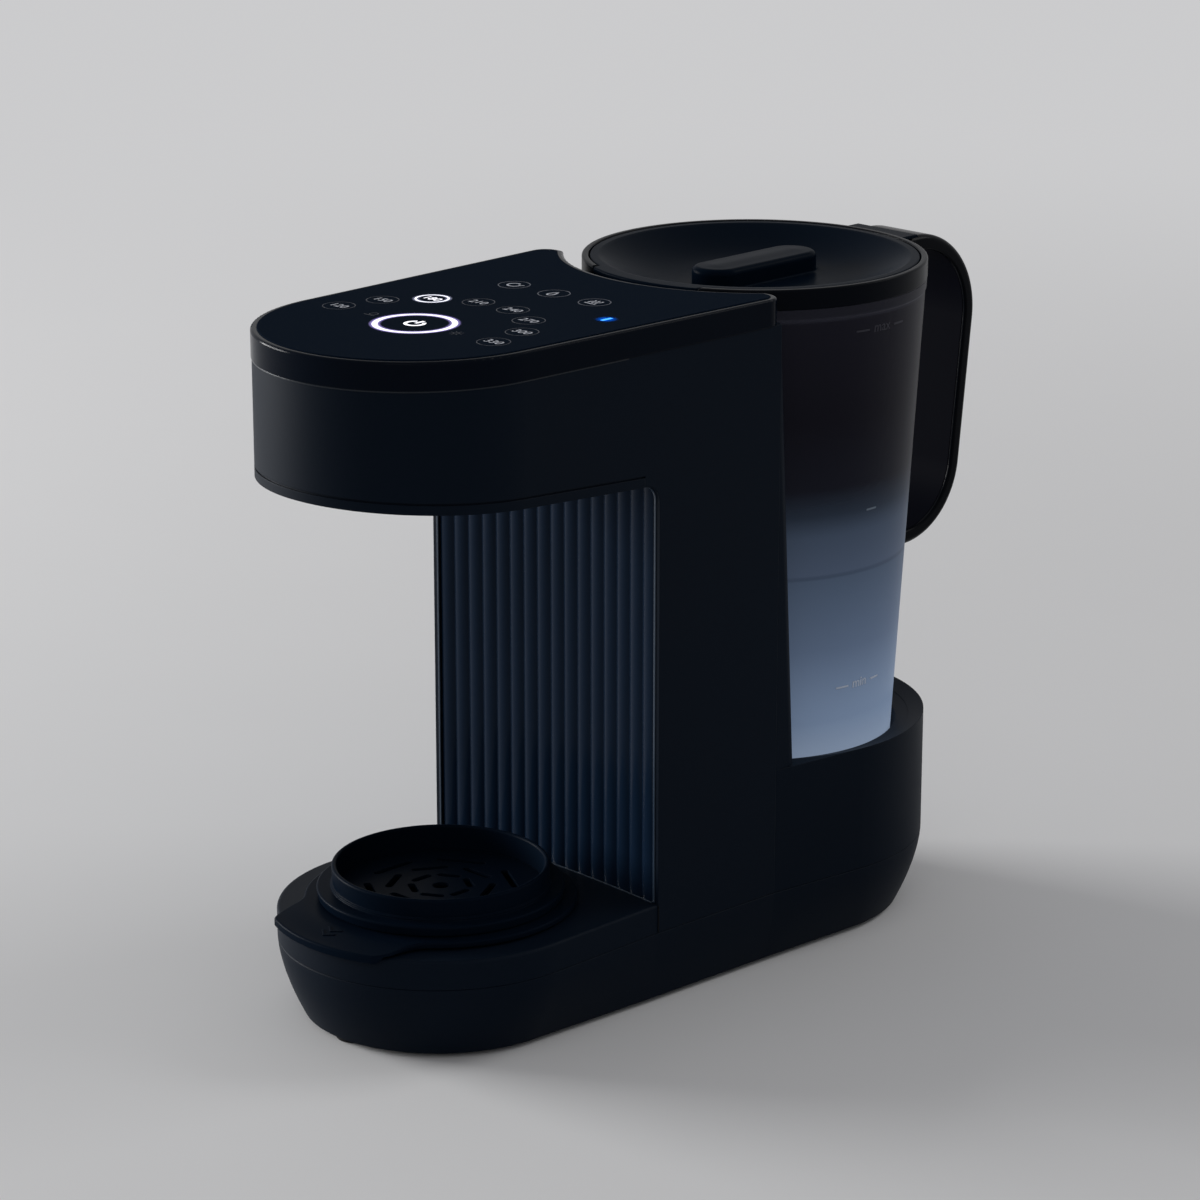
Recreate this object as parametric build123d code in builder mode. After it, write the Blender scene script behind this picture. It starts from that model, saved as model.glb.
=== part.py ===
from build123d import *
from math import acos, atan, atan2, cos, degrees, hypot, pi, sin
import os

# Baby formula maker: a water heater with a round-fronted head over a bottle stand, and a lift-off water jug.
# Millimetres. X runs across, Y runs back, Z is up from the surface that the feet stand on. The origin is on that
# surface, under the middle of the machine's length.

os.makedirs("parts", exist_ok=True)

# Driving dimensions
wall = 2.5  # moulded casing wall
step = 0.3  # how far the matt casing stands in from the gloss bezel
gap = 0.4  # between pieces that lift apart

head_y = -111.5  # centre of the head's round front, and of the power key
head_r = 55.5  # radius of that front
flare = 0.0375  # the sides spread by this much per millimetre of length
top_z = 250.0
bezel_z = 240.0  # underside of the gloss bezel
underside_front_z = 199.0  # the head's underside falls towards the column
underside_back_z = 193.0
lip_h = 4.0  # height of the head's bottom cover at its edge

column_y = -51.5  # front of the column
seam_y = 6.8  # where the rear cover meets the main housing
rear_top_y = 8.2  # rear face of the column at the top
rear_slope = 0.054  # that face leans back by this much per millimetre downwards

base_r = 58.0  # round front of the base, about the stand's axis
stand_y = -102.7
deck_z = 39.5
parting_z = 29.0  # seam between the upper casings and the base pan
pan_z = 2.0  # underside of the base pan
pan_inset = 8.5  # how far the pan draws in by its underside
foot_r = 6.5

jug_y = 56.8  # axis of the jug and its well
tub_r = 65.6  # outside of the round rear
tub_z = 75.7
well_r = 55.0  # mouth of the well
well_lip_z = 72.0
well_floor_z = 56.0

jug_taper = 0.0576
jug_foot_r = 52.5  # outside radius at the foot
jug_foot_z = well_floor_z + gap
jug_wall = 2.4
jug_floor_z = 60.0
rim_r = 63.3
rim_z = 241.5  # underside of the dark rim band
rim_top_z = 249.0
cradle_gap = 6.3  # between the jug's wall and the hollow behind the column

handle_out_y = 167.0  # furthest back the handle reaches
handle_top_r, handle_low_r = 33.0, 31.5
handle_top_z, handle_low_z = 246.3, 126.0
handle_low_y = 129.3  # centre of the lower bend
handle_t = 6.5
handle_w = 28.0

heater_x, heater_y, heater_r = 26.0, -29.5, 14.0
shelf_z, clamp_z, plate_t = 70.0, 168.0, 2.5
pump_x, pump_z = 26.0, 20.0
hose_r, bore_r = 4.0, 3.0
socket_r = 16.0  # socket in the well's floor
inlet_half, inlet_z, inlet_h = 14.0, 42.0, 20.0  # mains inlet in the tub's rear
front_posts, rear_posts = [(-42, -75), (42, -75)], [(-44, 62), (44, 62)]
boss_z, screw_r = 8.0, 1.5

flare_angle = atan(flare)
front_y = head_y - head_r


def side_x(y, inset=0.0):
    """Half the head's width at y."""
    return (head_r - inset) / cos(flare_angle) + (y - head_y) * flare


def underside(y):
    """Height of the head's sloping underside at y."""
    share = (y - front_y) / (column_y - front_y)
    return underside_front_z + (underside_back_z - underside_front_z) * share


def jug_r(z):
    """Outside radius of the jug's tapering wall at height z."""
    return jug_foot_r + jug_taper * (z - jug_foot_z)


def cradle_r(z):
    """Radius of the hollow behind the column, which follows the jug's taper."""
    return jug_r(z) + cradle_gap


def rear_y(z):
    """Rear face of the column at height z."""
    return rear_top_y + rear_slope * (top_z - z)


def head_plan(inset, back_y):
    """Plan of the head and column: a round front whose sides spread a little, cut square at back_y."""
    r = head_r - inset
    a = degrees(flare_angle)
    tangent_x, tangent_y = r * cos(flare_angle), head_y - r * sin(flare_angle)
    corner_x = side_x(back_y, inset)
    with BuildSketch(Plane.XY) as plan:
        with BuildLine():
            CenterArc((0, head_y), r, 180 + a, 180 - 2 * a)
            Line((tangent_x, tangent_y), (corner_x, back_y))
            Line((corner_x, back_y), (-corner_x, back_y))
            Line((-corner_x, back_y), (-tangent_x, tangent_y))
        make_face()
    return plan.sketch_local


def base_plan(inset, side_inset=None):
    """Plan of the base: round front, nearly straight sides, and sides that spread to the round rear."""
    front_r, rear_r = base_r - inset, tub_r - inset
    side_inset = inset if side_inset is None else side_inset
    column_x, seam_x = side_x(column_y, step) - side_inset, side_x(seam_y, step) - side_inset
    reach = hypot(seam_x, seam_y - jug_y)
    touch = atan2(seam_y - jug_y, seam_x) + acos(rear_r / reach)
    touch_x, touch_y = rear_r * cos(touch), jug_y + rear_r * sin(touch)
    right = [(front_r, stand_y), (column_x, column_y), (seam_x, seam_y), (touch_x, touch_y)]
    with BuildSketch(Plane.XY) as plan:
        with BuildLine():
            CenterArc((0, stand_y), front_r, 180, 180)
            Polyline(*right)
            CenterArc((0, jug_y), rear_r, degrees(touch), 180 - 2 * degrees(touch))
            Polyline(*[(-x, y) for x, y in right])
        make_face()
    return plan.sketch_local


def part_of_plan(plan, low_y, high_y):
    """The stretch of a plan between two distances back."""
    with BuildSketch(Plane.XY) as stretch:
        add(plan)
        with Locations((0, (low_y + high_y) / 2)):
            Rectangle(400, high_y - low_y, mode=Mode.INTERSECT)
    return stretch.sketch_local


def top_plan(inset):
    """Plan of the top: the head's plan, hollowed at the back around the jug, with rounded corners."""
    with BuildSketch(Plane.XY) as plan:
        add(head_plan(0, rear_top_y))
        with Locations((0, jug_y)):
            Circle(cradle_r(top_z), mode=Mode.SUBTRACT)
        corners = plan.vertices().group_by(Axis.Y)[-1].sort_by(Axis.X)
        fillet([corners[0], corners[-1]], 7)
        inner = plan.vertices().filter_by(lambda v: abs(abs(v.X) - 50.5) < 2 and v.Y > 0)
        fillet(inner, 2.5)
        if inset:
            offset(amount=-inset)
    return plan.sketch_local


def slab(plan, low, high):
    """A plan raised between two heights."""
    with BuildPart() as raised:
        with BuildSketch(Plane.XY.offset(low)):
            add(plan)
        extrude(amount=high - low)
    return raised.part


def sloped_band(inset, back_y, low, high):
    """The head's plan between two heights above its sloping underside."""
    with BuildPart() as band:
        with BuildSketch(Plane.XY.offset(underside_back_z - 10)):
            add(head_plan(inset, back_y))
        extrude(amount=40)
        with BuildSketch(Plane.YZ):
            with BuildLine():
                start, end = front_y - 5, back_y + 5
                Polyline(
                    (start, underside(start) + low),
                    (end, underside(end) + low),
                    (end, underside(end) + high),
                    (start, underside(start) + high),
                    close=True,
                )
            make_face()
        extrude(amount=80, both=True, mode=Mode.INTERSECT)
    return band.part


def turned(points, y=0.0, x=0.0):
    """A solid of revolution about a vertical axis at (x, y), from (radius, height) points."""
    with BuildPart() as lathe:
        with BuildSketch(Plane.XZ):
            with BuildLine():
                Polyline(*points, close=True)
            make_face()
        revolve(axis=Axis.Z)
    return Pos(x, y, 0) * lathe.part


def hose(*points, radii):
    """A soft tube along straight runs joined by arcs; its volume is printed beside section times length."""
    with BuildPart() as tube:
        with BuildLine() as route:
            FilletPolyline(*points, radius=radii)
        line = route.wires()[0]
        with BuildSketch(Plane(origin=line @ 0, z_dir=line % 0)):
            Circle(hose_r)
            Circle(bore_r, mode=Mode.SUBTRACT)
        sweep(path=line)
    section = pi * (hose_r**2 - bore_r**2)
    print("hose", round(tube.part.volume), "of", round(section * line.length), "bends", radii)
    return tube


def save(piece, name):
    """Labels a finished piece and writes it."""
    piece.part.label = name
    export_step(piece.part, f"parts/{name}.step")


# Main housing: one wall round the head and down both sides of the column
cover_back_y = column_y - 7
with BuildPart() as main_housing:
    add(slab(head_plan(step, seam_y), parting_z, bezel_z))
    add(slab(head_plan(step + wall, seam_y + 5), parting_z - 1, bezel_z + 1), mode=Mode.SUBTRACT)
    with BuildSketch(Plane.YZ):
        with BuildLine():
            Polyline(
                (front_y - 5, parting_z - 1),
                (column_y, parting_z - 1),
                (column_y, underside(column_y)),
                (cover_back_y, underside(cover_back_y)),
                (cover_back_y, underside(cover_back_y) + lip_h),
                (front_y - 5, underside(front_y - 5) + lip_h),
                close=True,
            )
        bay = make_face()
        inner_corner = bay.vertices().sort_by_distance((column_y, underside(column_y)))[0]
        fillet(inner_corner, 6)
    extrude(amount=80, both=True, mode=Mode.SUBTRACT)
save(main_housing, "main_housing")

# Bottom cover of the head: a shallow tray with a shadow groove under the housing
with BuildPart() as head_bottom_cover:
    add(sloped_band(step, cover_back_y, 0, lip_h - 0.7))
    add(sloped_band(step + 0.7, cover_back_y, lip_h - 0.7, lip_h))
    add(sloped_band(step + wall, cover_back_y - wall, 2, lip_h + 2), mode=Mode.SUBTRACT)
    with BuildSketch(Plane.YZ):
        with BuildLine():
            Polyline(
                (cover_back_y, underside(cover_back_y)),
                (column_y - 0.3, underside(column_y)),
                (column_y - 0.3, underside(column_y) + 2),
                (cover_back_y, underside(cover_back_y) + 2),
                close=True,
            )
        make_face()
    extrude(amount=side_x(cover_back_y, step + wall) - 0.2, both=True)
    with Locations((0, stand_y, underside(stand_y))):
        Cylinder(17, 30, mode=Mode.SUBTRACT)
save(head_bottom_cover, "head_bottom_cover")

# Water outlet under the head
nozzle_z = underside(stand_y)
with BuildPart() as nozzle_housing:
    add(
        turned(
            [
                (5, nozzle_z - 5.5),
                (15, nozzle_z - 5.5),
                (17, nozzle_z - 3.5),
                (17, nozzle_z + 6),
                (bore_r, nozzle_z + 6),
                (bore_r, nozzle_z + 16),
                (1.6, nozzle_z + 16),
                (1.6, nozzle_z + 1),
                (5, nozzle_z + 1),
            ],
            y=stand_y,
        )
    )
save(nozzle_housing, "nozzle_housing")

with BuildPart() as nozzle_tip:
    add(
        turned(
            [(1.6, nozzle_z - 8.5), (3.6, nozzle_z - 8.5), (5, nozzle_z - 5), (5, nozzle_z + 1), (1.6, nozzle_z + 1)],
            y=stand_y,
        )
    )
save(nozzle_tip, "nozzle_tip")

# Gloss bezel round the top, with a rebate for the touch panel and a ledge under it
rebate_z, ledge_z = 247.7, 244.7
panel_inset = 2.2
with BuildPart() as top_bezel:
    add(slab(top_plan(0), bezel_z, top_z - 0.3))
    rim_edges = top_bezel.faces().sort_by(Axis.Z)[-1].edges()
    fillet(rim_edges, 1.0)
    add(slab(top_plan(panel_inset), rebate_z, top_z + 1), mode=Mode.SUBTRACT)
    add(slab(top_plan(6.5), bezel_z - 1, top_z), mode=Mode.SUBTRACT)
    add(slab(top_plan(wall + step), bezel_z - 1, ledge_z), mode=Mode.SUBTRACT)
save(top_bezel, "top_bezel")

ring_r, ring_w, ring_depth = 13.6, 2.1, 0.8
with BuildPart() as touch_panel:
    add(slab(top_plan(panel_inset), rebate_z, top_z))
    chamfer(touch_panel.faces().sort_by(Axis.Z)[-1].edges(), 0.25)
    with BuildSketch(Plane.XY.offset(top_z - ring_depth)):
        with Locations((0, head_y)):
            Circle(ring_r + ring_w / 2)
            Circle(ring_r - ring_w / 2, mode=Mode.SUBTRACT)
    extrude(amount=ring_depth + 1, mode=Mode.SUBTRACT)
save(touch_panel, "touch_panel")

with BuildPart() as power_ring:
    with BuildSketch(Plane.XY.offset(top_z - ring_depth)):
        with Locations((0, head_y)):
            Circle(ring_r + ring_w / 2)
            Circle(ring_r - ring_w / 2, mode=Mode.SUBTRACT)
    extrude(amount=ring_depth)
save(power_ring, "power_ring")

# Light guides under the touch keys: an arc of volume keys and a row of function keys
key_circle_r, key_count, key_r = 38.6, 8, 6.5
icon_row_y, icon_pitch = head_y + 65.7, 20.3
with BuildPart() as key_light_guides:
    with BuildSketch(Plane.XY.offset(ledge_z)):
        with Locations((0, head_y)):
            with PolarLocations(key_circle_r, key_count, start_angle=0, angular_range=180, endpoint=True):
                Circle(key_r - 1.2)
        with Locations((0, icon_row_y)):
            with GridLocations(icon_pitch, 1, 3, 1):
                Circle(key_r - 1.2)
    extrude(amount=rebate_z - ledge_z)
save(key_light_guides, "key_light_guides")

board_t = 1.6
with BuildPart() as control_board:
    add(slab(part_of_plan(top_plan(4.2), front_y, -30), ledge_z - board_t, ledge_z))
    with Locations((22, -95, ledge_z - board_t - 2), (-20, -125, ledge_z - board_t - 2)):
        Box(16, 12, 4)
save(control_board, "control_board")

# Splash panel: sixteen upright reeds across a slightly hollow front
panel_half, panel_mid_y, panel_hollow, panel_back_y = 54.8, -48.0, 2.6, -45.5
reed_count, reed_rise = 16, 0.9
with BuildPart() as splash_panel:
    with BuildSketch(Plane.XY.offset(deck_z)):
        with BuildLine():
            pitch = 2 * panel_half / reed_count
            edge = [(-panel_half + i * pitch) for i in range(reed_count + 1)]
            hollow = [panel_mid_y - panel_hollow * (x / panel_half) ** 2 for x in edge]
            for i in range(reed_count):
                middle = ((edge[i] + edge[i + 1]) / 2, (hollow[i] + hollow[i + 1]) / 2 - reed_rise)
                ThreePointArc((edge[i], hollow[i]), middle, (edge[i + 1], hollow[i + 1]))
            right = [(panel_half, hollow[0]), (panel_half, -47.6), (58, -47.6), (58, panel_back_y)]
            Polyline(*right)
            Line((58, panel_back_y), (-58, panel_back_y))
            Polyline(*[(-x, y) for x, y in right])
        make_face()
        add(head_plan(step + wall, 0), mode=Mode.INTERSECT)
    extrude(amount=underside_back_z + 5 - deck_z)
save(splash_panel, "splash_panel")

# Rear cover: the hollow back of the column and the tub that holds the jug's foot, in one moulding
cup_z = well_floor_z - wall
with BuildPart() as column_back:
    with BuildSketch(Plane.XY.offset(parting_z)):
        with BuildLine():
            seam_x, far_x = side_x(seam_y, step), side_x(22, step)
            Polyline((-seam_x, seam_y), (seam_x, seam_y), (far_x, 22), (-far_x, 22), close=True)
        make_face()
    extrude(amount=bezel_z - parting_z)
    with BuildSketch(Plane.YZ):
        with BuildLine():
            Polyline((rear_y(0), 0), (rear_y(260), 260), (40, 260), (40, 0), close=True)
        make_face()
    extrude(amount=80, both=True, mode=Mode.SUBTRACT)
    tall = column_back.edges().filter_by(lambda e: e.bounding_box().size.Z > 100 and e.center().Y > seam_y + 1)
    fillet(tall, 4)

with BuildPart() as column_back_core:
    with BuildSketch(Plane.YZ):
        with BuildLine():
            Polyline(
                (seam_y - 1, parting_z - 1),
                (rear_y(parting_z - 1) - wall, parting_z - 1),
                (rear_y(bezel_z - 18) - wall, bezel_z - 18),
                (seam_y - 1, bezel_z - 18),
                close=True,
            )
        make_face()
    extrude(amount=seam_x - wall - 2, both=True)
    add(
        turned(
            [(0, 20), (cradle_r(20) + wall, 20), (cradle_r(260) + wall, 260), (0, 260)],
            y=jug_y,
        ),
        mode=Mode.SUBTRACT,
    )

with BuildPart() as tub_core:
    add(slab(part_of_plan(base_plan(wall), seam_y - 1, 150), parting_z - 1, well_lip_z - wall))
    add(
        turned(
            [(0, cup_z), (well_r + wall - 1, cup_z), (well_r + wall, well_lip_z), (0, well_lip_z)],
            y=jug_y,
        ),
        mode=Mode.SUBTRACT,
    )

with BuildPart() as cradle:
    add(
        turned(
            [(0, cup_z), (cradle_r(cup_z) + wall, cup_z), (cradle_r(bezel_z) + wall, bezel_z), (0, bezel_z)],
            y=jug_y,
        )
    )
    with Locations((0, seam_y - 50, 150)):
        Box(200, 100, 400, mode=Mode.INTERSECT)

with BuildPart() as rear_cover:
    add(slab(part_of_plan(base_plan(0), seam_y, 150), parting_z, tub_z))
    add(
        turned(
            [(0, well_lip_z), (well_r, well_lip_z), (tub_r, tub_z), (110, tub_z), (110, 90), (0, 90)],
            y=jug_y,
        ),
        mode=Mode.SUBTRACT,
    )
    add(column_back.part)
    add(cradle.part)
    add(
        turned(
            [
                (0, well_floor_z),
                (well_r - 1, well_floor_z),
                (well_r, well_lip_z),
                (cradle_r(well_lip_z + 1.5), well_lip_z + 1.5),
                (cradle_r(bezel_z + 1), bezel_z + 1),
                (0, bezel_z + 1),
            ],
            y=jug_y,
        ),
        mode=Mode.SUBTRACT,
    )
    add(column_back_core.part, mode=Mode.SUBTRACT)
    add(tub_core.part, mode=Mode.SUBTRACT)
    with Locations((0, jug_y, well_floor_z)):
        Cylinder(socket_r, 20, mode=Mode.SUBTRACT)
    with Locations((0, jug_y + tub_r, inlet_z)):
        Box(2 * inlet_half, 24, inlet_h, mode=Mode.SUBTRACT)
    with Locations(*[(x, y, boss_z) for x, y in rear_posts]):
        Cylinder(4, cup_z - boss_z, align=(Align.CENTER, Align.CENTER, Align.MIN))
        Cylinder(screw_r, 12, align=(Align.CENTER, Align.CENTER, Align.MIN), mode=Mode.SUBTRACT)
save(rear_cover, "rear_cover")

# Base deck under the stand, with a funnel-shaped recess for the drip tray
bowl_r, bowl_low_r, bowl_slope = 41.0, 20.0, 1.5  # the funnel widens by bowl_slope per millimetre of rise
plate_top_z = 42.5
deck_back_y = -44.0
bowl_floor_z = plate_top_z - (bowl_r - bowl_low_r) / bowl_slope  # inside of the tray's funnel
skin = 2.4  # height of a wall measured straight down through its slope
recess_top_r = bowl_r + (deck_z - plate_top_z + skin + 0.8) * bowl_slope
recess_floor_z = bowl_floor_z - skin - 0.8
with BuildPart() as base_deck:
    add(slab(part_of_plan(base_plan(0), -200, column_y), parting_z, deck_z))
    outer_edge = base_deck.faces().sort_by(Axis.Z)[-1].edges().filter_by(lambda e: e.center().Y < column_y - 1)
    fillet(outer_edge, 1.2)
    with Locations((0, (column_y + deck_back_y) / 2, deck_z - wall / 2)):
        Box(2 * panel_half, deck_back_y - column_y, wall)
    add(slab(part_of_plan(base_plan(wall), -200, column_y - wall), parting_z - 1, deck_z - wall), mode=Mode.SUBTRACT)
    add(
        turned(
            [
                (0, recess_floor_z - skin),
                (bowl_low_r, recess_floor_z - skin),
                (recess_top_r + skin * bowl_slope, deck_z - 0.1),
                (0, deck_z - 0.1),
            ],
            y=stand_y,
        )
    )
    add(
        turned(
            [
                (0, recess_floor_z),
                (bowl_low_r, recess_floor_z),
                (recess_top_r, deck_z),
                (recess_top_r, deck_z + 1),
                (0, deck_z + 1),
            ],
            y=stand_y,
        ),
        mode=Mode.SUBTRACT,
    )
    with Locations(*[(x, y, boss_z) for x, y in front_posts]):
        Cylinder(4, deck_z - 1 - boss_z, align=(Align.CENTER, Align.CENTER, Align.MIN))
        Cylinder(screw_r, 12, align=(Align.CENTER, Align.CENTER, Align.MIN), mode=Mode.SUBTRACT)
save(base_deck, "base_deck")

# Base pan: a bowl that draws in towards the floor
def pan_plan(z, inset=0.0):
    """Plan of the pan at height z; its sides draw in less than its ends, so its foot has no waist."""
    drawn = pan_inset * ((parting_z - z) / (parting_z - pan_z)) ** 1.6
    return base_plan(drawn + inset, 0.6 * drawn + inset)


feet_xy = [(0, -144.5), (-40, -50), (40, -50), (-30, 95), (30, 95)]
seam_bevel = 0.5
with BuildPart() as base_pan:
    for z in (parting_z - seam_bevel, 22, 15.5, 9.5, 5, pan_z):
        with BuildSketch(Plane.XY.offset(z)):
            add(pan_plan(z))
    loft()
    with BuildSketch(Plane.XY.offset(parting_z - seam_bevel)):
        add(pan_plan(parting_z - seam_bevel))
    extrude(amount=seam_bevel, taper=45)
    for z in (parting_z, 22, 15.5, 9.5, pan_z + wall):
        with BuildSketch(Plane.XY.offset(z)):
            add(pan_plan(z, wall))
    loft(mode=Mode.SUBTRACT)
    with Locations(*[(x, y, pan_z + 1) for x, y in front_posts + rear_posts]):
        Cylinder(5.5, boss_z - pan_z - 1, align=(Align.CENTER, Align.CENTER, Align.MIN))
    with Locations(*[(x, y, pan_z - 1) for x, y in front_posts + rear_posts]):
        Cylinder(3.8, 4, align=(Align.CENTER, Align.CENTER, Align.MIN), mode=Mode.SUBTRACT)
        Cylinder(1.7, 10, align=(Align.CENTER, Align.CENTER, Align.MIN), mode=Mode.SUBTRACT)
    with Locations(*[(x, y, pan_z - 1) for x, y in feet_xy]):
        Cylinder(foot_r, 2.5, align=(Align.CENTER, Align.CENTER, Align.MIN), mode=Mode.SUBTRACT)
save(base_pan, "base_pan")

with BuildPart() as rubber_feet:
    with Locations(*[(x, y, 0) for x, y in feet_xy]):
        Cylinder(foot_r, 3.5, align=(Align.CENTER, Align.CENTER, Align.MIN))
    chamfer(rubber_feet.faces().group_by(Axis.Z)[0].edges(), 0.5)
save(rubber_feet, "rubber_feet")

with BuildPart() as base_screws:
    with Locations(*[(x, y, pan_z + 1) for x, y in front_posts + rear_posts]):
        Cylinder(3.3, 2, align=(Align.CENTER, Align.CENTER, Align.MIN))
        Cylinder(screw_r, 14, align=(Align.CENTER, Align.CENTER, Align.MIN))
    with BuildSketch(Plane.XY.offset(pan_z + 1)):
        with Locations(*(front_posts + rear_posts)):
            Rectangle(3.6, 0.8)
            Rectangle(0.8, 3.6)
    extrude(amount=1, mode=Mode.SUBTRACT)
save(base_screws, "base_screws")

# Drip tray: a plate with a funnel in the middle and a tongue whose lip hangs over the base's front
plate_r, plate_low_z, tongue_half, lip_r = 48.3, 40.3, 28.3, 61.5
lip_gap_r, lip_low_z = base_r + 0.6, 38.2
with BuildPart() as drip_tray:
    add(
        turned(
            [
                (0, bowl_floor_z),
                (bowl_low_r, bowl_floor_z),
                (bowl_r, plate_top_z),
                (plate_r - 0.5, plate_top_z),
                (plate_r, plate_top_z - 0.5),
                (plate_r, plate_low_z),
                (bowl_low_r + (plate_low_z - bowl_floor_z + skin) * bowl_slope, plate_low_z),
                (bowl_low_r, bowl_floor_z - skin),
                (0, bowl_floor_z - skin),
            ],
            y=stand_y,
        )
    )
    with BuildSketch(Plane.XY.offset(plate_low_z)) as tongue:
        with Locations((0, stand_y)):
            Circle(lip_r)
        with Locations((0, stand_y - 50)):
            Rectangle(2 * tongue_half, 60, mode=Mode.INTERSECT)
        fillet(tongue.vertices().group_by(Axis.Y)[0], 6)
        with Locations((0, stand_y)):
            Circle(plate_r)
        fillet(tongue.vertices().group_by(Axis.Y)[-1], 12)
        with Locations((0, stand_y)):
            Circle(bowl_r, mode=Mode.SUBTRACT)
    extrude(amount=plate_top_z - 0.5 - plate_low_z)
    with BuildSketch(Plane.XY.offset(lip_low_z)) as lip:
        with Locations((0, stand_y)):
            Circle(lip_r)
        with Locations((0, stand_y - 50)):
            Rectangle(2 * tongue_half, 60, mode=Mode.INTERSECT)
        fillet(lip.vertices().group_by(Axis.Y)[0], 6)
        with Locations((0, stand_y)):
            Circle(lip_gap_r, mode=Mode.SUBTRACT)
    extrude(amount=plate_top_z - 0.5 - lip_low_z)
save(drip_tray, "drip_tray")

# Bottle stand: a low ring on a flange, with a slotted grid for a floor
ring_top_z, flange_z, skirt_z = 54.3, 46.5, plate_top_z + gap
grid_z, grid_t, grid_r = 45.2, 1.3, 36.8
with BuildPart() as bottle_stand:
    add(
        turned(
            [
                (grid_r, grid_z - grid_t),
                (grid_r, ring_top_z - 0.3),
                (grid_r + 0.5, ring_top_z),
                (38.2, ring_top_z),
                (38.6, ring_top_z - 0.4),
                (38.2, flange_z + 0.7),
                (38.9, flange_z),
                (43.6, flange_z),
                (44.1, flange_z - 0.5),
                (43.4, skirt_z),
                (41.2, skirt_z),
                (41.6, flange_z - 2),
                (39.0, flange_z - 2),
                (38.6, skirt_z),
                (34.6, skirt_z),
                (34.6, grid_z - grid_t),
            ],
            y=stand_y,
        )
    )
save(bottle_stand, "bottle_stand")

with BuildPart() as stand_grid:
    with BuildSketch(Plane.XY.offset(grid_z - grid_t)):
        with Locations((0, stand_y)):
            Circle(grid_r)
            for r in (10, 17.5, 25):
                with PolarLocations(r, 6, start_angle=30 if r == 17.5 else 0):
                    SlotCenterToCenter(r * 0.62, 2.6, rotation=90, mode=Mode.SUBTRACT)
            Circle(3, mode=Mode.SUBTRACT)
    extrude(amount=grid_t)
save(stand_grid, "stand_grid")

# Water jug
notch_half, notch_z, ledge_r, jug_ledge_z = 26.0, 245.2, 58.0, 244.8
jug_outside = turned(
    [(0, 50), (jug_r(50), 50), (jug_r(rim_z), rim_z), (rim_r, rim_z), (rim_r, 260), (0, 260)],
    y=jug_y,
)
valve_neck_r = 9.0
with BuildPart() as jug_shell:
    add(
        turned(
            [
                (valve_neck_r, jug_floor_z),
                (jug_foot_r - jug_wall, jug_floor_z),
                (jug_foot_r - jug_wall, jug_foot_z),
                (jug_foot_r, jug_foot_z),
                (jug_r(rim_z), rim_z),
                (jug_r(rim_z) - jug_wall, rim_z),
                (jug_r(jug_floor_z) - jug_wall + 0.3, jug_floor_z + 5),
                (jug_r(jug_floor_z) - jug_wall - 2.3, jug_floor_z + jug_wall),
                (valve_neck_r, jug_floor_z + jug_wall),
            ],
            y=jug_y,
        )
    )
save(jug_shell, "jug_shell")

with BuildPart() as jug_rim:
    add(
        turned(
            [
                (ledge_r, rim_z),
                (rim_r, rim_z),
                (rim_r, rim_top_z - 0.5),
                (rim_r - 0.5, rim_top_z),
                (60.8, rim_top_z),
                (60.8, jug_ledge_z),
                (ledge_r, jug_ledge_z),
            ],
            y=jug_y,
        )
    )
    with Locations((0, jug_y - 60, notch_z)):
        Box(2 * notch_half, 60, 10, align=(Align.CENTER, Align.CENTER, Align.MIN), mode=Mode.SUBTRACT)
save(jug_rim, "jug_rim")


def handle_loop(depth):
    """Area inside the handle's outline drawn in by depth, laid out as (distance back, height)."""
    top_y, top_c = handle_out_y - handle_top_r, handle_top_z - handle_top_r
    low_y, low_c = handle_low_y, handle_low_z + handle_low_r
    top_r, low_r = handle_top_r - depth, handle_low_r - depth
    reach = hypot(top_y - low_y, top_c - low_c)
    lean = atan2(top_c - low_c, top_y - low_y) - acos((low_r - top_r) / reach)
    start = jug_y + 40
    with BuildSketch(Plane.XY) as loop:
        with BuildLine():
            Line((start, top_c + top_r), (top_y, top_c + top_r))
            upper = CenterArc((top_y, top_c), top_r, 90, degrees(lean) - 90)
            lower = CenterArc((low_y, low_c), low_r, degrees(lean), -90 - degrees(lean))
            Line(upper @ 1, lower @ 0)
            Line((low_y, low_c - low_r), (start, low_c - low_r))
            Line((start, low_c - low_r), (start, top_c + top_r))
        make_face()
    return loop.sketch_local


grip_depth, grip_half = 1.6, 11.5
with BuildPart() as jug_handle:
    with BuildSketch(Plane.YZ):
        add(handle_loop(0))
        add(handle_loop(handle_t), mode=Mode.SUBTRACT)
    extrude(amount=handle_w / 2, both=True)
    fillet(jug_handle.faces().filter_by(Axis.X).edges(), 1.6)
    with Locations((0, jug_y + 66, handle_top_z)):
        Box(handle_w + 2, 16, handle_t, align=(Align.CENTER, Align.CENTER, Align.MAX))
    with BuildSketch(Plane.XZ.offset(-jug_y - 50)):
        with Locations((0, handle_low_z + handle_t / 2)):
            RectangleRounded(handle_w + 3, handle_t + 5, 4)
    extrude(amount=-10)
    with BuildSketch(Plane.YZ):
        add(handle_loop(handle_t - grip_depth))
        add(handle_loop(handle_t + 1), mode=Mode.SUBTRACT)
    extrude(amount=grip_half, both=True, mode=Mode.SUBTRACT)
    add(jug_outside, mode=Mode.SUBTRACT)
save(jug_handle, "jug_handle")

with BuildPart() as handle_grip:
    with BuildSketch(Plane.YZ):
        add(handle_loop(handle_t - grip_depth))
        add(handle_loop(handle_t), mode=Mode.SUBTRACT)
    extrude(amount=grip_half, both=True)
    add(jug_outside, mode=Mode.SUBTRACT)
save(handle_grip, "handle_grip")

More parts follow.
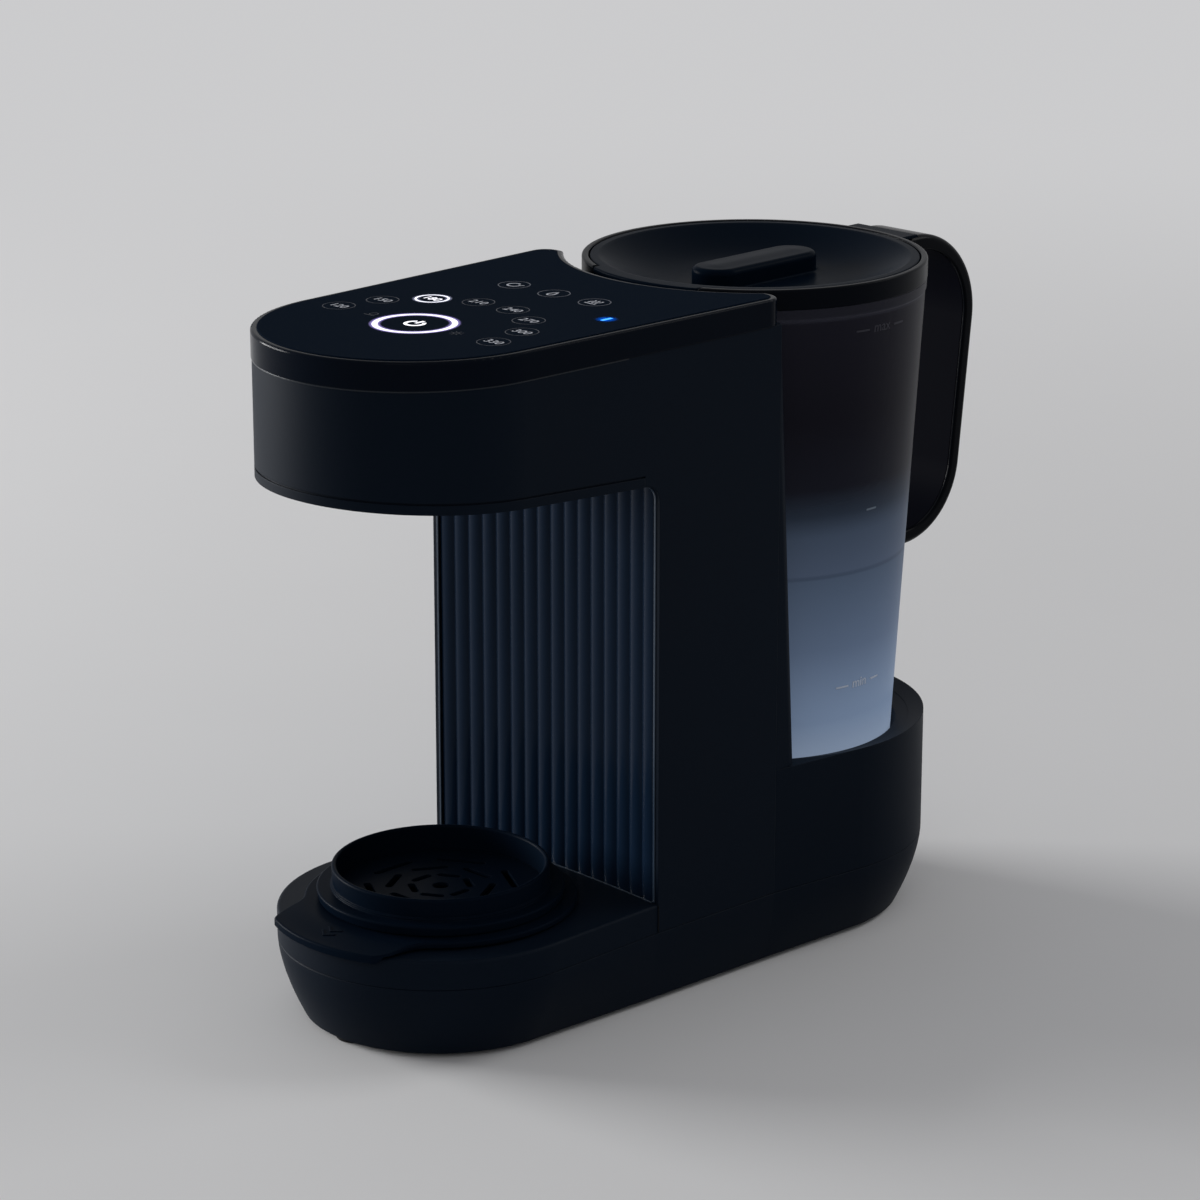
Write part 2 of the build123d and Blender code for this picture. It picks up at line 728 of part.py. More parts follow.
with BuildPart() as handle_cap:
    with Locations((0, jug_y + 66, handle_top_z)):
        Box(handle_w + 2, 16, 1.1, align=(Align.CENTER, Align.CENTER, Align.MIN))
    chamfer(handle_cap.faces().sort_by(Axis.Z)[-1].edges(), 0.4)
    add(jug_outside, mode=Mode.SUBTRACT)
save(handle_cap, "handle_cap")

# Lid: a shallow dish with a stadium grip, whose lip fills the pouring notch at the front
lid_r, lid_top_z, dish_z, grip_top_z = 60.4, 248.8, 240.0, 247.4
lid_skirt_r = 56.4
with BuildPart() as lid_dish:
    with BuildSketch(Plane.XZ):
        with BuildLine():
            Polyline(
                (28, dish_z),
                (0, dish_z),
                (0, dish_z - 2),
                (31, dish_z - 2),
                (44, dish_z - 0.6),
                (lid_skirt_r - 1.8, 243.4),
                (lid_skirt_r - 1.8, 242.2),
                (lid_skirt_r, 242.2),
                (lid_skirt_r, jug_ledge_z + gap),
                (lid_r, jug_ledge_z + gap),
                (lid_r, lid_top_z - 0.4),
                (lid_r - 0.4, lid_top_z),
                (57, lid_top_z),
            )
            Spline((57, lid_top_z), (48, 243.6), (38, 240.8), (28, dish_z), tangents=[(-1, -0.5), (-1, 0)])
        make_face()
    revolve(axis=Axis.Z)

with BuildPart() as jug_lid:
    add(Pos(0, jug_y, 0) * lid_dish.part)
    with BuildSketch(Plane.XY.offset(dish_z)):
        with Locations((0, jug_y)):
            SlotOverall(58, 19, rotation=90)
    extrude(amount=grip_top_z - dish_z)
    fillet(jug_lid.faces().filter_by(lambda f: abs(f.center().Z - grip_top_z) < 0.01).edges(), 2.2)
    with BuildSketch(Plane.XY.offset(notch_z + gap)):
        with Locations((0, jug_y)):
            Circle(rim_r)
        with Locations((0, jug_y - 60)):
            Rectangle(2 * (notch_half - gap), 20, mode=Mode.INTERSECT)
        with Locations((0, jug_y)):
            Circle(lid_r - 1, mode=Mode.SUBTRACT)
    extrude(amount=lid_top_z - notch_z - gap)
save(jug_lid, "jug_lid")

with BuildPart() as lid_seal:
    add(
        turned(
            [(lid_skirt_r, 242.4), (ledge_r - gap, 242.9), (ledge_r - gap, 243.9), (lid_skirt_r, 244.4)],
            y=jug_y,
        )
    )
save(lid_seal, "lid_seal")

# Valve in the jug's floor. It is drawn opened by the socket's post, with its spring squeezed
seat_z, bridge_z, valve_travel = jug_floor_z, 74.0, 2.7
disc_z = seat_z + valve_travel + 0.3
stem_r, post_top_z = 1.9, 59.2
with BuildPart() as jug_valve_body:
    add(
        turned(
            [
                (4, seat_z - 2.4),
                (11.6, seat_z - 2.4),
                (11.6, seat_z),
                (valve_neck_r, seat_z),
                (valve_neck_r, seat_z + 6),
                (7.2, seat_z + 6),
                (7.2, seat_z),
                (4, seat_z),
            ],
            y=jug_y,
        )
    )
    with Locations((0, jug_y, seat_z + 5)):
        with PolarLocations(8.1, 3):
            Cylinder(0.7, bridge_z - seat_z - 5, align=(Align.CENTER, Align.CENTER, Align.MIN))
    with Locations((0, jug_y, bridge_z)):
        Cylinder(valve_neck_r, 1.6, align=(Align.CENTER, Align.CENTER, Align.MIN))
        Cylinder(stem_r + 0.35, 10, mode=Mode.SUBTRACT)
save(jug_valve_body, "jug_valve_body")

with BuildPart() as valve_plunger:
    add(
        turned(
            [
                (0, post_top_z + 0.3),
                (stem_r, post_top_z + 0.3),
                (stem_r, disc_z + 1),
                (6, disc_z + 1),
                (6, disc_z + 2.5),
                (stem_r, disc_z + 2.5),
                (stem_r, bridge_z + 4),
                (0, bridge_z + 4),
            ],
            y=jug_y,
        )
    )
save(valve_plunger, "valve_plunger")

with BuildPart() as valve_seal:
    add(turned([(stem_r, disc_z), (6.2, disc_z), (6.4, disc_z + 1), (stem_r, disc_z + 1)], y=jug_y))
save(valve_seal, "valve_seal")

spring_r, wire_r, spring_low_z = 4.4, 0.5, disc_z + 3.0
with BuildPart() as valve_spring:
    with BuildLine(Plane.XY.offset(spring_low_z)):
        coil = Helix(pitch=2.0, height=bridge_z - 0.6 - spring_low_z, radius=spring_r)
    with BuildSketch(Plane(origin=coil @ 0, z_dir=coil % 0)):
        Circle(wire_r)
    sweep(path=coil, is_frenet=True)
valve_spring.part = Pos(0, jug_y, 0) * valve_spring.part
save(valve_spring, "valve_spring")

# Socket in the well's floor: a cup whose hollow post opens the jug's valve and drains to the suction hose
cup_r, barb_r, way_r = 13.5, 2.95, 1.7
with BuildPart() as jug_socket:
    add(
        turned(
            [
                (way_r, 33),
                (barb_r, 33),
                (barb_r, 41),
                (6, 41),
                (6, 48),
                (20, 51.2),
                (20, cup_z),
                (socket_r, cup_z),
                (socket_r, 57),
                (cup_r, 57),
                (cup_r, 53),
                (2.6, 51),
                (2.6, post_top_z),
                (way_r, post_top_z),
            ],
            y=jug_y,
        )
    )
    with Locations((0, jug_y, 52.5)):
        Box(1.8, 5.6, 2.6, mode=Mode.SUBTRACT)
save(jug_socket, "jug_socket")

with BuildPart() as socket_seal:
    add(
        turned(
            [(cup_r + 0.2, 57), (socket_r, 57), (socket_r - 0.6, 59.4), (cup_r + 0.9, 59.4)],
            y=jug_y,
        )
    )
save(socket_seal, "socket_seal")

# Pump under the well
motor_r, case_r, shaft_r = 13.0, 13.0, 1.5
motor_y, case_y, case_end_y = -4.0, 28.0, 40.0
along_y = Plane(origin=(pump_x, 0, pump_z), x_dir=(1, 0, 0), z_dir=(0, 1, 0))


def turned_y(points):
    """A solid of revolution about the pump's axis, from (radius, distance back) points."""
    with BuildPart() as lathe:
        with BuildSketch(Plane.XZ):
            with BuildLine():
                Polyline(*points, close=True)
            make_face()
        revolve(axis=Axis.Z)
    return along_y.location * lathe.part


with BuildPart() as pump_motor:
    add(
        turned_y(
            [
                (0, motor_y),
                (motor_r - 1, motor_y),
                (motor_r, motor_y + 1),
                (motor_r, case_y),
                (shaft_r + 0.05, case_y),
                (shaft_r + 0.05, motor_y + 12),
                (0, motor_y + 12),
            ]
        )
    )
save(pump_motor, "pump_motor")

outlet_z, pump_way_r = pump_z + case_r + 1.5, 1.7
with BuildPart() as pump_casing:
    add(
        turned_y(
            [
                (shaft_r + 0.05, case_y),
                (case_r, case_y),
                (case_r, case_end_y - 1),
                (case_r - 1, case_end_y),
                (barb_r, case_end_y),
                (barb_r, case_end_y + 7),
                (pump_way_r, case_end_y + 7),
                (pump_way_r, case_end_y - 2),
                (10.8, case_end_y - 2),
                (10.8, case_y + 2),
                (shaft_r + 0.05, case_y + 2),
            ]
        )
    )
    with Locations((pump_x, (case_y + case_end_y) / 2, pump_z + 11.5)):
        Cylinder(4.4, outlet_z - pump_z - 11.5, align=(Align.CENTER, Align.CENTER, Align.MIN))
        Cylinder(barb_r, outlet_z - pump_z - 7, align=(Align.CENTER, Align.CENTER, Align.MIN))
        Cylinder(pump_way_r, 20, mode=Mode.SUBTRACT)
save(pump_casing, "pump_casing")

with BuildPart() as pump_rotor:
    add(
        turned_y(
            [
                (0, motor_y + 12.4),
                (shaft_r, motor_y + 12.4),
                (shaft_r, case_y + 2.5),
                (9.8, case_y + 2.5),
                (9.8, case_y + 3.7),
                (3, case_y + 3.7),
                (3, case_end_y - 3),
                (0, case_end_y - 3),
            ]
        )
    )
    with Locations(along_y.offset(case_y + 3.6).location):
        with PolarLocations(6, 6):
            Box(7.4, 1, 3.6, align=(Align.CENTER, Align.CENTER, Align.MIN))
save(pump_rotor, "pump_rotor")

with BuildPart() as pump_cradle:
    with Locations((pump_x, (motor_y + case_y) / 2, pan_z + wall)):
        Box(34, 20, 3, align=(Align.CENTER, Align.CENTER, Align.MIN))
        Box(24, 20, pump_z - 4 - pan_z - wall, align=(Align.CENTER, Align.CENTER, Align.MIN))
    with Locations(Plane(origin=(pump_x, 12, pump_z), z_dir=(0, 1, 0)).location):
        Cylinder(motor_r, 40, mode=Mode.SUBTRACT)
save(pump_cradle, "pump_cradle")

# Shelf and clamp across the column hold the heater and the power board
heater_cap_r, fitting_r = 11.5, 5.0
board_front_y = -41.6
inner_plan = part_of_plan(head_plan(step + wall, 6), panel_back_y, -14)
for name, low in (("lower_shelf", shelf_z), ("upper_clamp", clamp_z)):
    with BuildPart() as plate:
        add(slab(inner_plan, low, low + plate_t))
        with Locations((heater_x, heater_y, low)):
            Cylinder(fitting_r, 10, mode=Mode.SUBTRACT)
        with Locations((-30, -26, low)):
            Cylinder(4.5, 10, mode=Mode.SUBTRACT)
    save(plate, name)

with BuildPart() as heater_tube:
    add(
        turned(
            [
                (heater_r - 1.2, shelf_z + plate_t + 3),
                (heater_r, shelf_z + plate_t + 3),
                (heater_r, clamp_z - 3),
                (heater_r - 1.2, clamp_z - 3),
            ],
            x=heater_x,
            y=heater_y,
        )
    )
save(heater_tube, "heater_tube")

cap_outline = [
    (1.7, 0),
    (fitting_r, 0),
    (fitting_r, 8 + plate_t),
    (heater_cap_r, 8 + plate_t),
    (heater_r, 9.5 + plate_t),
    (heater_r, 11 + plate_t),
    (heater_r - 1.2, 11 + plate_t),
    (heater_r - 1.2, 17 + plate_t),
    (9, 17 + plate_t),
    (9, 12.5 + plate_t),
    (1.7, 12.5 + plate_t),
]
barb_outline = [(1.7, -6), (barb_r, -6), (barb_r, 0), (1.7, 0)]
heater_low_z, heater_high_z = shelf_z - 8, clamp_z + plate_t + 8
with BuildPart() as heater_caps:
    for outline in (cap_outline, barb_outline):
        add(turned([(r, heater_low_z + h) for r, h in outline], x=heater_x, y=heater_y))
        add(turned([(r, heater_high_z - h) for r, h in outline], x=heater_x, y=heater_y))
save(heater_caps, "heater_caps")

with BuildPart() as thermostat:
    with Locations((heater_x, heater_y + heater_r - 2, 120)):
        Box(12, 7, 16, align=(Align.CENTER, Align.MIN, Align.CENTER))
    with Locations((heater_x, heater_y, 120)):
        Cylinder(heater_r, 30, mode=Mode.SUBTRACT)
save(thermostat, "thermostat")

with BuildPart() as power_board:
    board_low, board_high = shelf_z + plate_t, clamp_z
    with Locations((-30, board_front_y, board_low)):
        Box(44, board_t, board_high - board_low, align=(Align.CENTER, Align.MIN, Align.MIN))
    back = board_front_y + board_t
    with Locations((-38, back, 96)):
        Box(20, 15, 22, align=(Align.CENTER, Align.MIN, Align.CENTER))
    with Locations((-15, back, 132), (-15, back, 112)):
        Box(11, 13, 16, align=(Align.CENTER, Align.MIN, Align.CENTER))
    with Locations((-38, back, 132)):
        Box(24, 3, 26, align=(Align.CENTER, Align.MIN, Align.CENTER))
    with Locations(*[Location((-38, back, z), (-90, 0, 0)) for z in (152, 118)]):
        Cylinder(4.5, 12, align=(Align.CENTER, Align.CENTER, Align.MIN))
save(power_board, "power_board")

# Hoses and leads
suction_hose = hose(
    (0, jug_y, 41), (0, jug_y, pump_z), (pump_x, jug_y, pump_z), (pump_x, case_end_y, pump_z), radii=8
)
save(suction_hose, "suction_hose")
mid_y = (case_y + case_end_y) / 2
pump_hose = hose(
    (pump_x, mid_y, outlet_z), (pump_x, mid_y, 47.2), (pump_x, heater_y, 47.2), (pump_x, heater_y, heater_low_z),
    radii=8,
)
save(pump_hose, "pump_hose")
nozzle_hose = hose(
    (heater_x, heater_y, heater_high_z), (heater_x, heater_y, 226), (0, stand_y, 226), (0, stand_y, nozzle_z + 6),
    radii=9,
)
save(nozzle_hose, "nozzle_hose")

inlet_back_y, inlet_face_y = 102.0, 120.4
socket_half, socket_h = 12.0, 15.6
with BuildPart() as mains_inlet:
    with Locations((0, inlet_back_y, inlet_z)):
        Box(2 * inlet_half, inlet_face_y - inlet_back_y, inlet_h, align=(Align.CENTER, Align.MIN, Align.CENTER))
    with BuildSketch(Plane.XZ.offset(-inlet_back_y - 3)) as recess:
        with Locations((0, inlet_z)):
            Rectangle(2 * socket_half, socket_h)
        chamfer(recess.vertices().group_by(Axis.Z)[-1], 4)
    extrude(amount=-30, mode=Mode.SUBTRACT)
save(mains_inlet, "mains_inlet")

with BuildPart() as inlet_pins:
    with Locations((-7, inlet_back_y + 3, inlet_z - 2), (7, inlet_back_y + 3, inlet_z - 2)):
        Box(2, 12, 4, align=(Align.CENTER, Align.MIN, Align.CENTER))
    with Locations((0, inlet_back_y + 3, inlet_z + 2)):
        Box(2, 13, 4, align=(Align.CENTER, Align.MIN, Align.CENTER))
save(inlet_pins, "inlet_pins")


def lead(*points, radii, r=2.5):
    """A solid flexible lead along straight runs joined by arcs."""
    with BuildPart() as cable:
        with BuildLine() as route:
            FilletPolyline(*points, radius=radii)
        line = route.wires()[0]
        with BuildSketch(Plane(origin=line @ 0, z_dir=line % 0)):
            Circle(r)
        sweep(path=line)
    print("lead", round(cable.part.volume), "of", round(pi * r**2 * line.length))
    return cable


inlet_lead = lead(
    (-8, inlet_back_y, 42),
    (-8, 86, 42),
    (-30, 70, 42),
    (-30, -26, 42),
    (-30, -26, 80),
    (-30, board_front_y + board_t, 80),
    radii=6,
)
save(inlet_lead, "inlet_lead")

control_loom = lead(
    (-30, board_front_y + board_t, 160),
    (-30, -26, 160),
    (-30, -26, ledge_z - board_t),
    radii=6,
    r=2,
)
save(control_loom, "control_loom")
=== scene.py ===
import math
import bmesh
import bpy
import numpy as np
from mathutils import Matrix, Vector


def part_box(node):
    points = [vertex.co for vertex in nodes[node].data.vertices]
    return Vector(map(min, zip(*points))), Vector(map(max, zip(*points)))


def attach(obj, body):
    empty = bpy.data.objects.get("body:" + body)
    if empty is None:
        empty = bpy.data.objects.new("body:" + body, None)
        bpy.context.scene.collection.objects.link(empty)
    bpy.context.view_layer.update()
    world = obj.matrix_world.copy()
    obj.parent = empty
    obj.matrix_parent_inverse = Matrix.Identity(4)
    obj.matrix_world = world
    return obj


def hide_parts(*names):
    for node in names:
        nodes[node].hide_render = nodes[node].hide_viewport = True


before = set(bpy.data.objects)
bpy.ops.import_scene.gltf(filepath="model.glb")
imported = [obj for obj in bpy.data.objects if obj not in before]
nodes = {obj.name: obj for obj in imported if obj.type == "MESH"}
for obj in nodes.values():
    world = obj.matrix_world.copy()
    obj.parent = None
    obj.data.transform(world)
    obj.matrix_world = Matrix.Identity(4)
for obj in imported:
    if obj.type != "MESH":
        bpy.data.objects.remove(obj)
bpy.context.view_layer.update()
scene = bpy.context.scene
mm = 0.001
print("frame loaded:", len(nodes), "nodes")


def gridQuads(points, loopU, loopV):
    # neighbours on the grid points[i, j] become quads; i and j close on themselves if asked
    rows, cols = points.shape[:2]
    i = np.arange(rows if loopU else rows - 1)[:, None]
    j = np.arange(cols if loopV else cols - 1)[None, :]
    row, nextRow, nextJ = i * cols, (i + 1) % rows * cols, (j + 1) % cols
    return np.stack([row + j, nextRow + j, nextRow + nextJ, row + nextJ], axis=-1).reshape(-1, 4)


def surface(name, *grids):
    # one piece from one or more grids of millimetre points, each (points, loopU, loopV)
    places, quads, first = [], [], 0
    for points, loopU, loopV in grids:
        quads.append(gridQuads(points, loopU, loopV) + first)
        places.append(points.reshape(-1, 3))
        first += len(places[-1])
    mesh = bpy.data.meshes.new(name)
    mesh.from_pydata((np.concatenate(places) * mm).tolist(), [], np.concatenate(quads).tolist())
    return closedPiece(name, mesh)


def closedPiece(name, mesh, sharp=38):
    # merges doubled points, drops collapsed faces and turns every face outwards
    work = bmesh.new()
    work.from_mesh(mesh)
    bmesh.ops.remove_doubles(work, verts=work.verts, dist=2e-6)
    bmesh.ops.dissolve_degenerate(work, edges=work.edges, dist=1e-6)
    bmesh.ops.recalc_face_normals(work, faces=work.faces)
    work.to_mesh(mesh)
    work.free()
    mesh.polygons.foreach_set("use_smooth", np.ones(len(mesh.polygons), bool))
    mesh.set_sharp_from_angle(angle=math.radians(sharp))
    return bpy.data.objects.new(name, mesh)


def dressed(obj, body, slot, material, *stoodFor):
    # puts a piece into the scene, on its body, in its finish, in place of the CAD nodes it stands for
    scene.collection.objects.link(obj)
    obj.data.materials.clear()
    obj.data.materials.append(material)
    even = obj.modifiers.new("evenNormals", "WEIGHTED_NORMAL")
    even.keep_sharp = True
    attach(obj, body)
    if stoodFor:
        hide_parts(*stoodFor)


def unit(ways):
    # each row made of length one
    return ways / np.maximum(np.linalg.norm(ways, axis=1), 1e-9)[:, None]


def rounded(corners, radii, steps=7, closed=True):
    # outline through corners, each made an arc of its radius: from the arc's middle, directions turn evenly
    # from one tangent point to the other
    corners, radii = np.array(corners, float), np.array(radii, float)[:, None]
    before, after = np.roll(corners, 1, 0), np.roll(corners, -1, 0)
    a, b = unit(before - corners), unit(after - corners)
    half = np.arccos(np.clip((a * b).sum(1), -1, 1))[:, None] / 2
    middle = corners + unit(a + b) * radii / np.sin(half)
    reach = radii / np.tan(half)
    fromArm, toArm = ((corners + arm * reach - middle)[:, None] for arm in (a, b))
    turn = (math.pi - 2 * half)[:, None]
    share = np.linspace(0, 1, steps)[None, :, None]
    swing = np.sin((1 - share) * turn) * fromArm + np.sin(share * turn) * toArm
    points = middle[:, None] + swing / np.maximum(np.sin(turn), 1e-9)
    if not closed:
        points[0], points[-1] = corners[0], corners[-1]
    return points.reshape(-1, 2)


def turned(profile, middle, segments=180):
    # surface of revolution: (radius, height) points carried round a vertical axis at middle
    angle = np.linspace(0, 2 * math.pi, segments, endpoint=False)[:, None]
    r, z = profile[None, :, 0], profile[None, :, 1]
    x, y = middle[0] + r * np.cos(angle), middle[1] + r * np.sin(angle)
    return np.stack([x, y, z + 0 * angle], axis=-1)


def fineFront(half, fine, coarse):
    # angles once round, in radians, closer together within half degrees of zero
    near, far = np.linspace(-half, half, fine), np.linspace(half, 360 - half, coarse)
    return np.radians(np.concatenate([near, far[1:-1]]))[:, None]


def joined(reach, *lines):
    # sections round an axis: radii and heights of all the lines in turn, in a row for every row of reach
    spread = [np.broadcast_arrays(r, z, reach)[:2] for r, z in lines]
    return (np.concatenate(parts, axis=1) for parts in zip(*spread))


def smoothStep(t):
    # 0 to 1 with flat ends: 3t^2 - 2t^3
    t = np.clip(t, 0, 1)
    return t * t * (3 - 2 * t)


def softLower(a, b, blend):
    # the lower of a and b, rounded where they meet within blend
    h = np.clip(0.5 + 0.5 * (b - a) / blend, 0, 1)
    return b + (a - b) * h - blend * h * (1 - h)


def softUpper(a, b, blend):
    return -softLower(-a, -b, blend)


def ended(points):
    # closes a swept skin: each end runs to the middle of its section
    ends = np.repeat(points[[0, -1]].mean(1, keepdims=True), points.shape[1], axis=1)
    return np.concatenate([ends[:1], points, ends[1:]])


def stroke(path, width, low, high, closed=False):
    # a flat bar along a path, between two heights: each point steps half the width to both sides of its way
    path = np.array(path, float)
    along = unit(np.roll(path, -1, 0) - np.roll(path, 1, 0) if closed else np.gradient(path, axis=0))
    side = np.stack([-along[:, 1], along[:, 0]], axis=1) * width / 2
    ring = [(path + side, low), (path - side, low), (path - side, high), (path + side, high)]
    points = np.stack([np.column_stack([xy, np.full(len(path), z)]) for xy, z in ring], axis=1)
    return points if closed else ended(points), closed, True


def arcPath(middle, radius, start, end, count=40):
    # points of an arc, angles in degrees from +X towards +Y
    angle = np.radians(np.linspace(start, end, count))
    return np.stack([middle[0] + radius * np.cos(angle), middle[1] + radius * np.sin(angle)], axis=1)


def lettering(name, words, depth):
    # text made a mesh; each word is (text, middle x, middle y, size), flat on its back, in millimetres, with
    # strokes a hundredth of its size bolder on every side
    work = bmesh.new()
    for text, x, y, size in words:
        curve = bpy.data.curves.new(name, "FONT")
        curve.body, curve.size, curve.extrude, curve.offset = text, size, depth / 2, size * 0.01
        curve.align_x, curve.align_y = "CENTER", "CENTER"
        holder = bpy.data.objects.new(name, curve)
        scene.collection.objects.link(holder)
        flat = bpy.data.meshes.new_from_object(holder.evaluated_get(bpy.context.evaluated_depsgraph_get()))
        bpy.data.objects.remove(holder)
        bpy.data.curves.remove(curve)
        flat.transform(Matrix.Translation((x, y, 0)))
        work.from_mesh(flat)
        bpy.data.meshes.remove(flat)
    mesh = bpy.data.meshes.new(name)
    work.to_mesh(mesh)
    work.free()
    return mesh


def moved(mesh, shape, drawnIn=1.0):
    # every point of a mesh drawn in that unit goes through shape, a function of whole arrays x, y, z in
    # millimetres, and comes out in metres
    flat = np.empty(len(mesh.vertices) * 3)
    mesh.vertices.foreach_get("co", flat)
    x, y, z = flat.reshape(-1, 3).T / drawnIn
    mesh.vertices.foreach_set("co", (np.stack(shape(x, y, z), axis=1) * mm).ravel())


print("helpers ready")


def fed(socket, value):
    # an input gets a link, a number, or a colour of three numbers
    if isinstance(value, bpy.types.NodeSocket):
        socket.id_data.links.new(value, socket)
    elif np.ndim(value):
        socket.default_value = (*value, 1.0)
    else:
        socket.default_value = value


def added(made, kind, **settings):
    # a shader node with its settings
    node = made.new("ShaderNode" + kind)
    for setting, value in settings.items():
        setattr(node, setting, value)
    return node


def combined(made, operation, *values):
    # one Math node over one or two values, each a socket or a number
    node = added(made, "Math", operation=operation)
    for socket, value in zip(node.inputs, values):
        fed(socket, value)
    return node.outputs["Value"]


def remapped(made, value, fromEnds=(0.0, 1.0), toEnds=(0.0, 1.0), ease="LINEAR"):
    # a value carried from one range to another, and held at its ends
    node = added(made, "MapRange", interpolation_type=ease)
    for label, number in zip(("From Min", "From Max", "To Min", "To Max"), (*fromEnds, *toEnds)):
        node.inputs[label].default_value = number
    fed(node.inputs["Value"], value)
    return node.outputs["Result"]


def mixColour(made, first, second, share):
    # share of the second colour over the first; either may be a socket or three numbers
    mix = added(made, "Mix", data_type="RGBA")
    for at, value in ((6, first), (7, second), (0, share)):
        fed(mix.inputs[at], value)
    return mix.outputs[2]


def cloudNoise(made, scale, detail):
    # noise over Object coordinates
    noise = added(made, "TexNoise")
    noise.inputs["Detail"].default_value = detail
    fed(noise.inputs["Vector"], added(made, "TexCoord").outputs["Object"])
    fed(noise.inputs["Scale"], scale)
    return noise.outputs["Fac"]


def newGroup(name, inputs, outputs):
    # a node group with named inputs, each with its value, and named outputs, each with its kind
    group = bpy.data.node_groups.new(name, "ShaderNodeTree")
    for label, value in inputs.items():
        socket = group.interface.new_socket(name=label, in_out="INPUT", socket_type="NodeSocketFloat")
        socket.default_value = value
    for label, kind in outputs.items():
        group.interface.new_socket(name=label, in_out="OUTPUT", socket_type="NodeSocket" + kind)
    made = group.nodes
    return group, made, made.new("NodeGroupInput").outputs, made.new("NodeGroupOutput").inputs


def mouldGrainGroup():
    # moulded texture: a fine noise gives a height, a broad noise gives a slow tone
    inputs, outputs = {"Grain Scale": 2600.0, "Tone Scale": 9.0}, {"Height": "Float", "Tone": "Float"}
    group, made, given, result = newGroup("mouldGrain", inputs, outputs)
    fed(result["Height"], cloudNoise(made, given["Grain Scale"], 2.0))
    fed(result["Tone"], cloudNoise(made, given["Tone Scale"], 3.0))
    return group


def edgeGlintWearGroup():
    # Normal is the face's normal rounded over its sharp edges; Mask is where that leaves the true normal,
    # broken up by noise, and places both edge wear and a painted edge glint
    inputs, outputs = {"Width": 0.0006, "Breakup": 160.0}, {"Mask": "Float", "Normal": "Vector"}
    group, made, given, result = newGroup("edgeGlintWear", inputs, outputs)
    rounding = added(made, "Bevel", samples=4)
    compare = added(made, "VectorMath", operation="DOT_PRODUCT")
    fed(rounding.inputs["Radius"], given["Width"])
    fed(compare.inputs[0], rounding.outputs["Normal"])
    fed(compare.inputs[1], added(made, "NewGeometry").outputs["Normal"])
    edge = remapped(made, compare.outputs["Value"], (0.985, 0.86))
    patchy = remapped(made, cloudNoise(made, given["Breakup"], 4.0), (0.42, 0.68))
    fed(result["Mask"], combined(made, "MULTIPLY", edge, patchy))
    fed(result["Normal"], rounding.outputs["Normal"])
    return group


def dustFilmGroup():
    # a thin film of dust on faces that look up, in soft patches
    group, made, given, result = newGroup("dustFilm", {"Patch Scale": 30.0}, {"Mask": "Float"})
    split = added(made, "SeparateXYZ")
    fed(split.inputs["Vector"], added(made, "NewGeometry").outputs["Normal"])
    upward = remapped(made, split.outputs["Z"], (0.25, 1.0))
    patchy = remapped(made, cloudNoise(made, given["Patch Scale"], 6.0), (0.35, 0.8))
    fed(result["Mask"], combined(made, "MULTIPLY", upward, patchy))
    return group


mouldGrain, edgeGlintWear, dustFilm = mouldGrainGroup(), edgeGlintWearGroup(), dustFilmGroup()


def newMaterial(name, plain):
    # a material, with the plain values of its shader's inputs
    material = bpy.data.materials.new(name)
    material.use_nodes = True
    made = material.node_tree.nodes
    shader = made["Principled BSDF"].inputs
    for label, value in plain.items():
        shader[label].default_value = value
    return material, made, shader


def placed(made, group, values):
    # a node group in a material, with its own values
    node = added(made, "Group", node_tree=group)
    for label, value in values.items():
        node.inputs[label].default_value = value
    return node.outputs


def bumped(made, shader, height, depth, normal=None):
    # the shader's normal: a height of that depth in millimetres, over another normal where one is given
    bump = added(made, "Bump")
    bump.inputs["Distance"].default_value = depth * mm
    fed(bump.inputs["Height"], height)
    if normal is not None:
        fed(bump.inputs["Normal"], normal)
    fed(shader["Normal"], bump.outputs["Normal"])


# each finish: colour (linear), how far a slow tone lightens it, roughness and its spread, depth of the grain
# in millimetres, shares of dust on faces that look up and of lighter edges (wear and a painted glint), width
# of that lighter edge in metres
plainFinish = {
    "tone": 0.35, "rough": 0.5, "roughSpread": 0.05, "grain": 0.02, "grainScale": 2600.0, "toneScale": 9.0,
    "metal": 0.0, "dust": 0.004, "wear": 0.1, "wearWidth": 0.0005, "specular": 0.09,
    "dustColour": (0.32, 0.31, 0.3),
}


def finish(name, colour, **look):
    # colour = base, lightened by tone x slow noise, by wear and a painted glint on edges and by dust on
    # upward faces; roughness = base + spread x slow noise; the grain's height drives a bump
    look = {**plainFinish, **look}
    plain = {"Metallic": look["metal"], "Specular IOR Level": look["specular"]}
    material, made, shader = newMaterial(name, plain)
    grain = placed(made, mouldGrain, {"Grain Scale": look["grainScale"], "Tone Scale": look["toneScale"]})
    edge = placed(made, edgeGlintWear, {"Width": look["wearWidth"]})
    film = placed(made, dustFilm, {})
    base = np.array(colour)
    tint = mixColour(made, base, np.clip(base * (1 + look["tone"]), 0, 1), grain["Tone"])
    # edges lighten towards base x 2.2 + 0.02: partly wear, partly a painted glint standing in for edge
    # highlights
    wornAndGlint = combined(made, "MULTIPLY", edge["Mask"], look["wear"])
    tint = mixColour(made, tint, np.clip(base * 2.2 + 0.02, 0, 1), wornAndGlint)
    dusty = combined(made, "MULTIPLY", film["Mask"], look["dust"])
    fed(shader["Base Color"], mixColour(made, tint, look["dustColour"], dusty))
    rough = np.clip(look["rough"] + look["roughSpread"] * np.array([-1, 1]), 0.02, 1)
    fed(shader["Roughness"], remapped(made, grain["Tone"], (0.3, 0.7), rough))
    bumped(made, shader, grain["Height"], look["grain"], edge["Normal"])
    return material


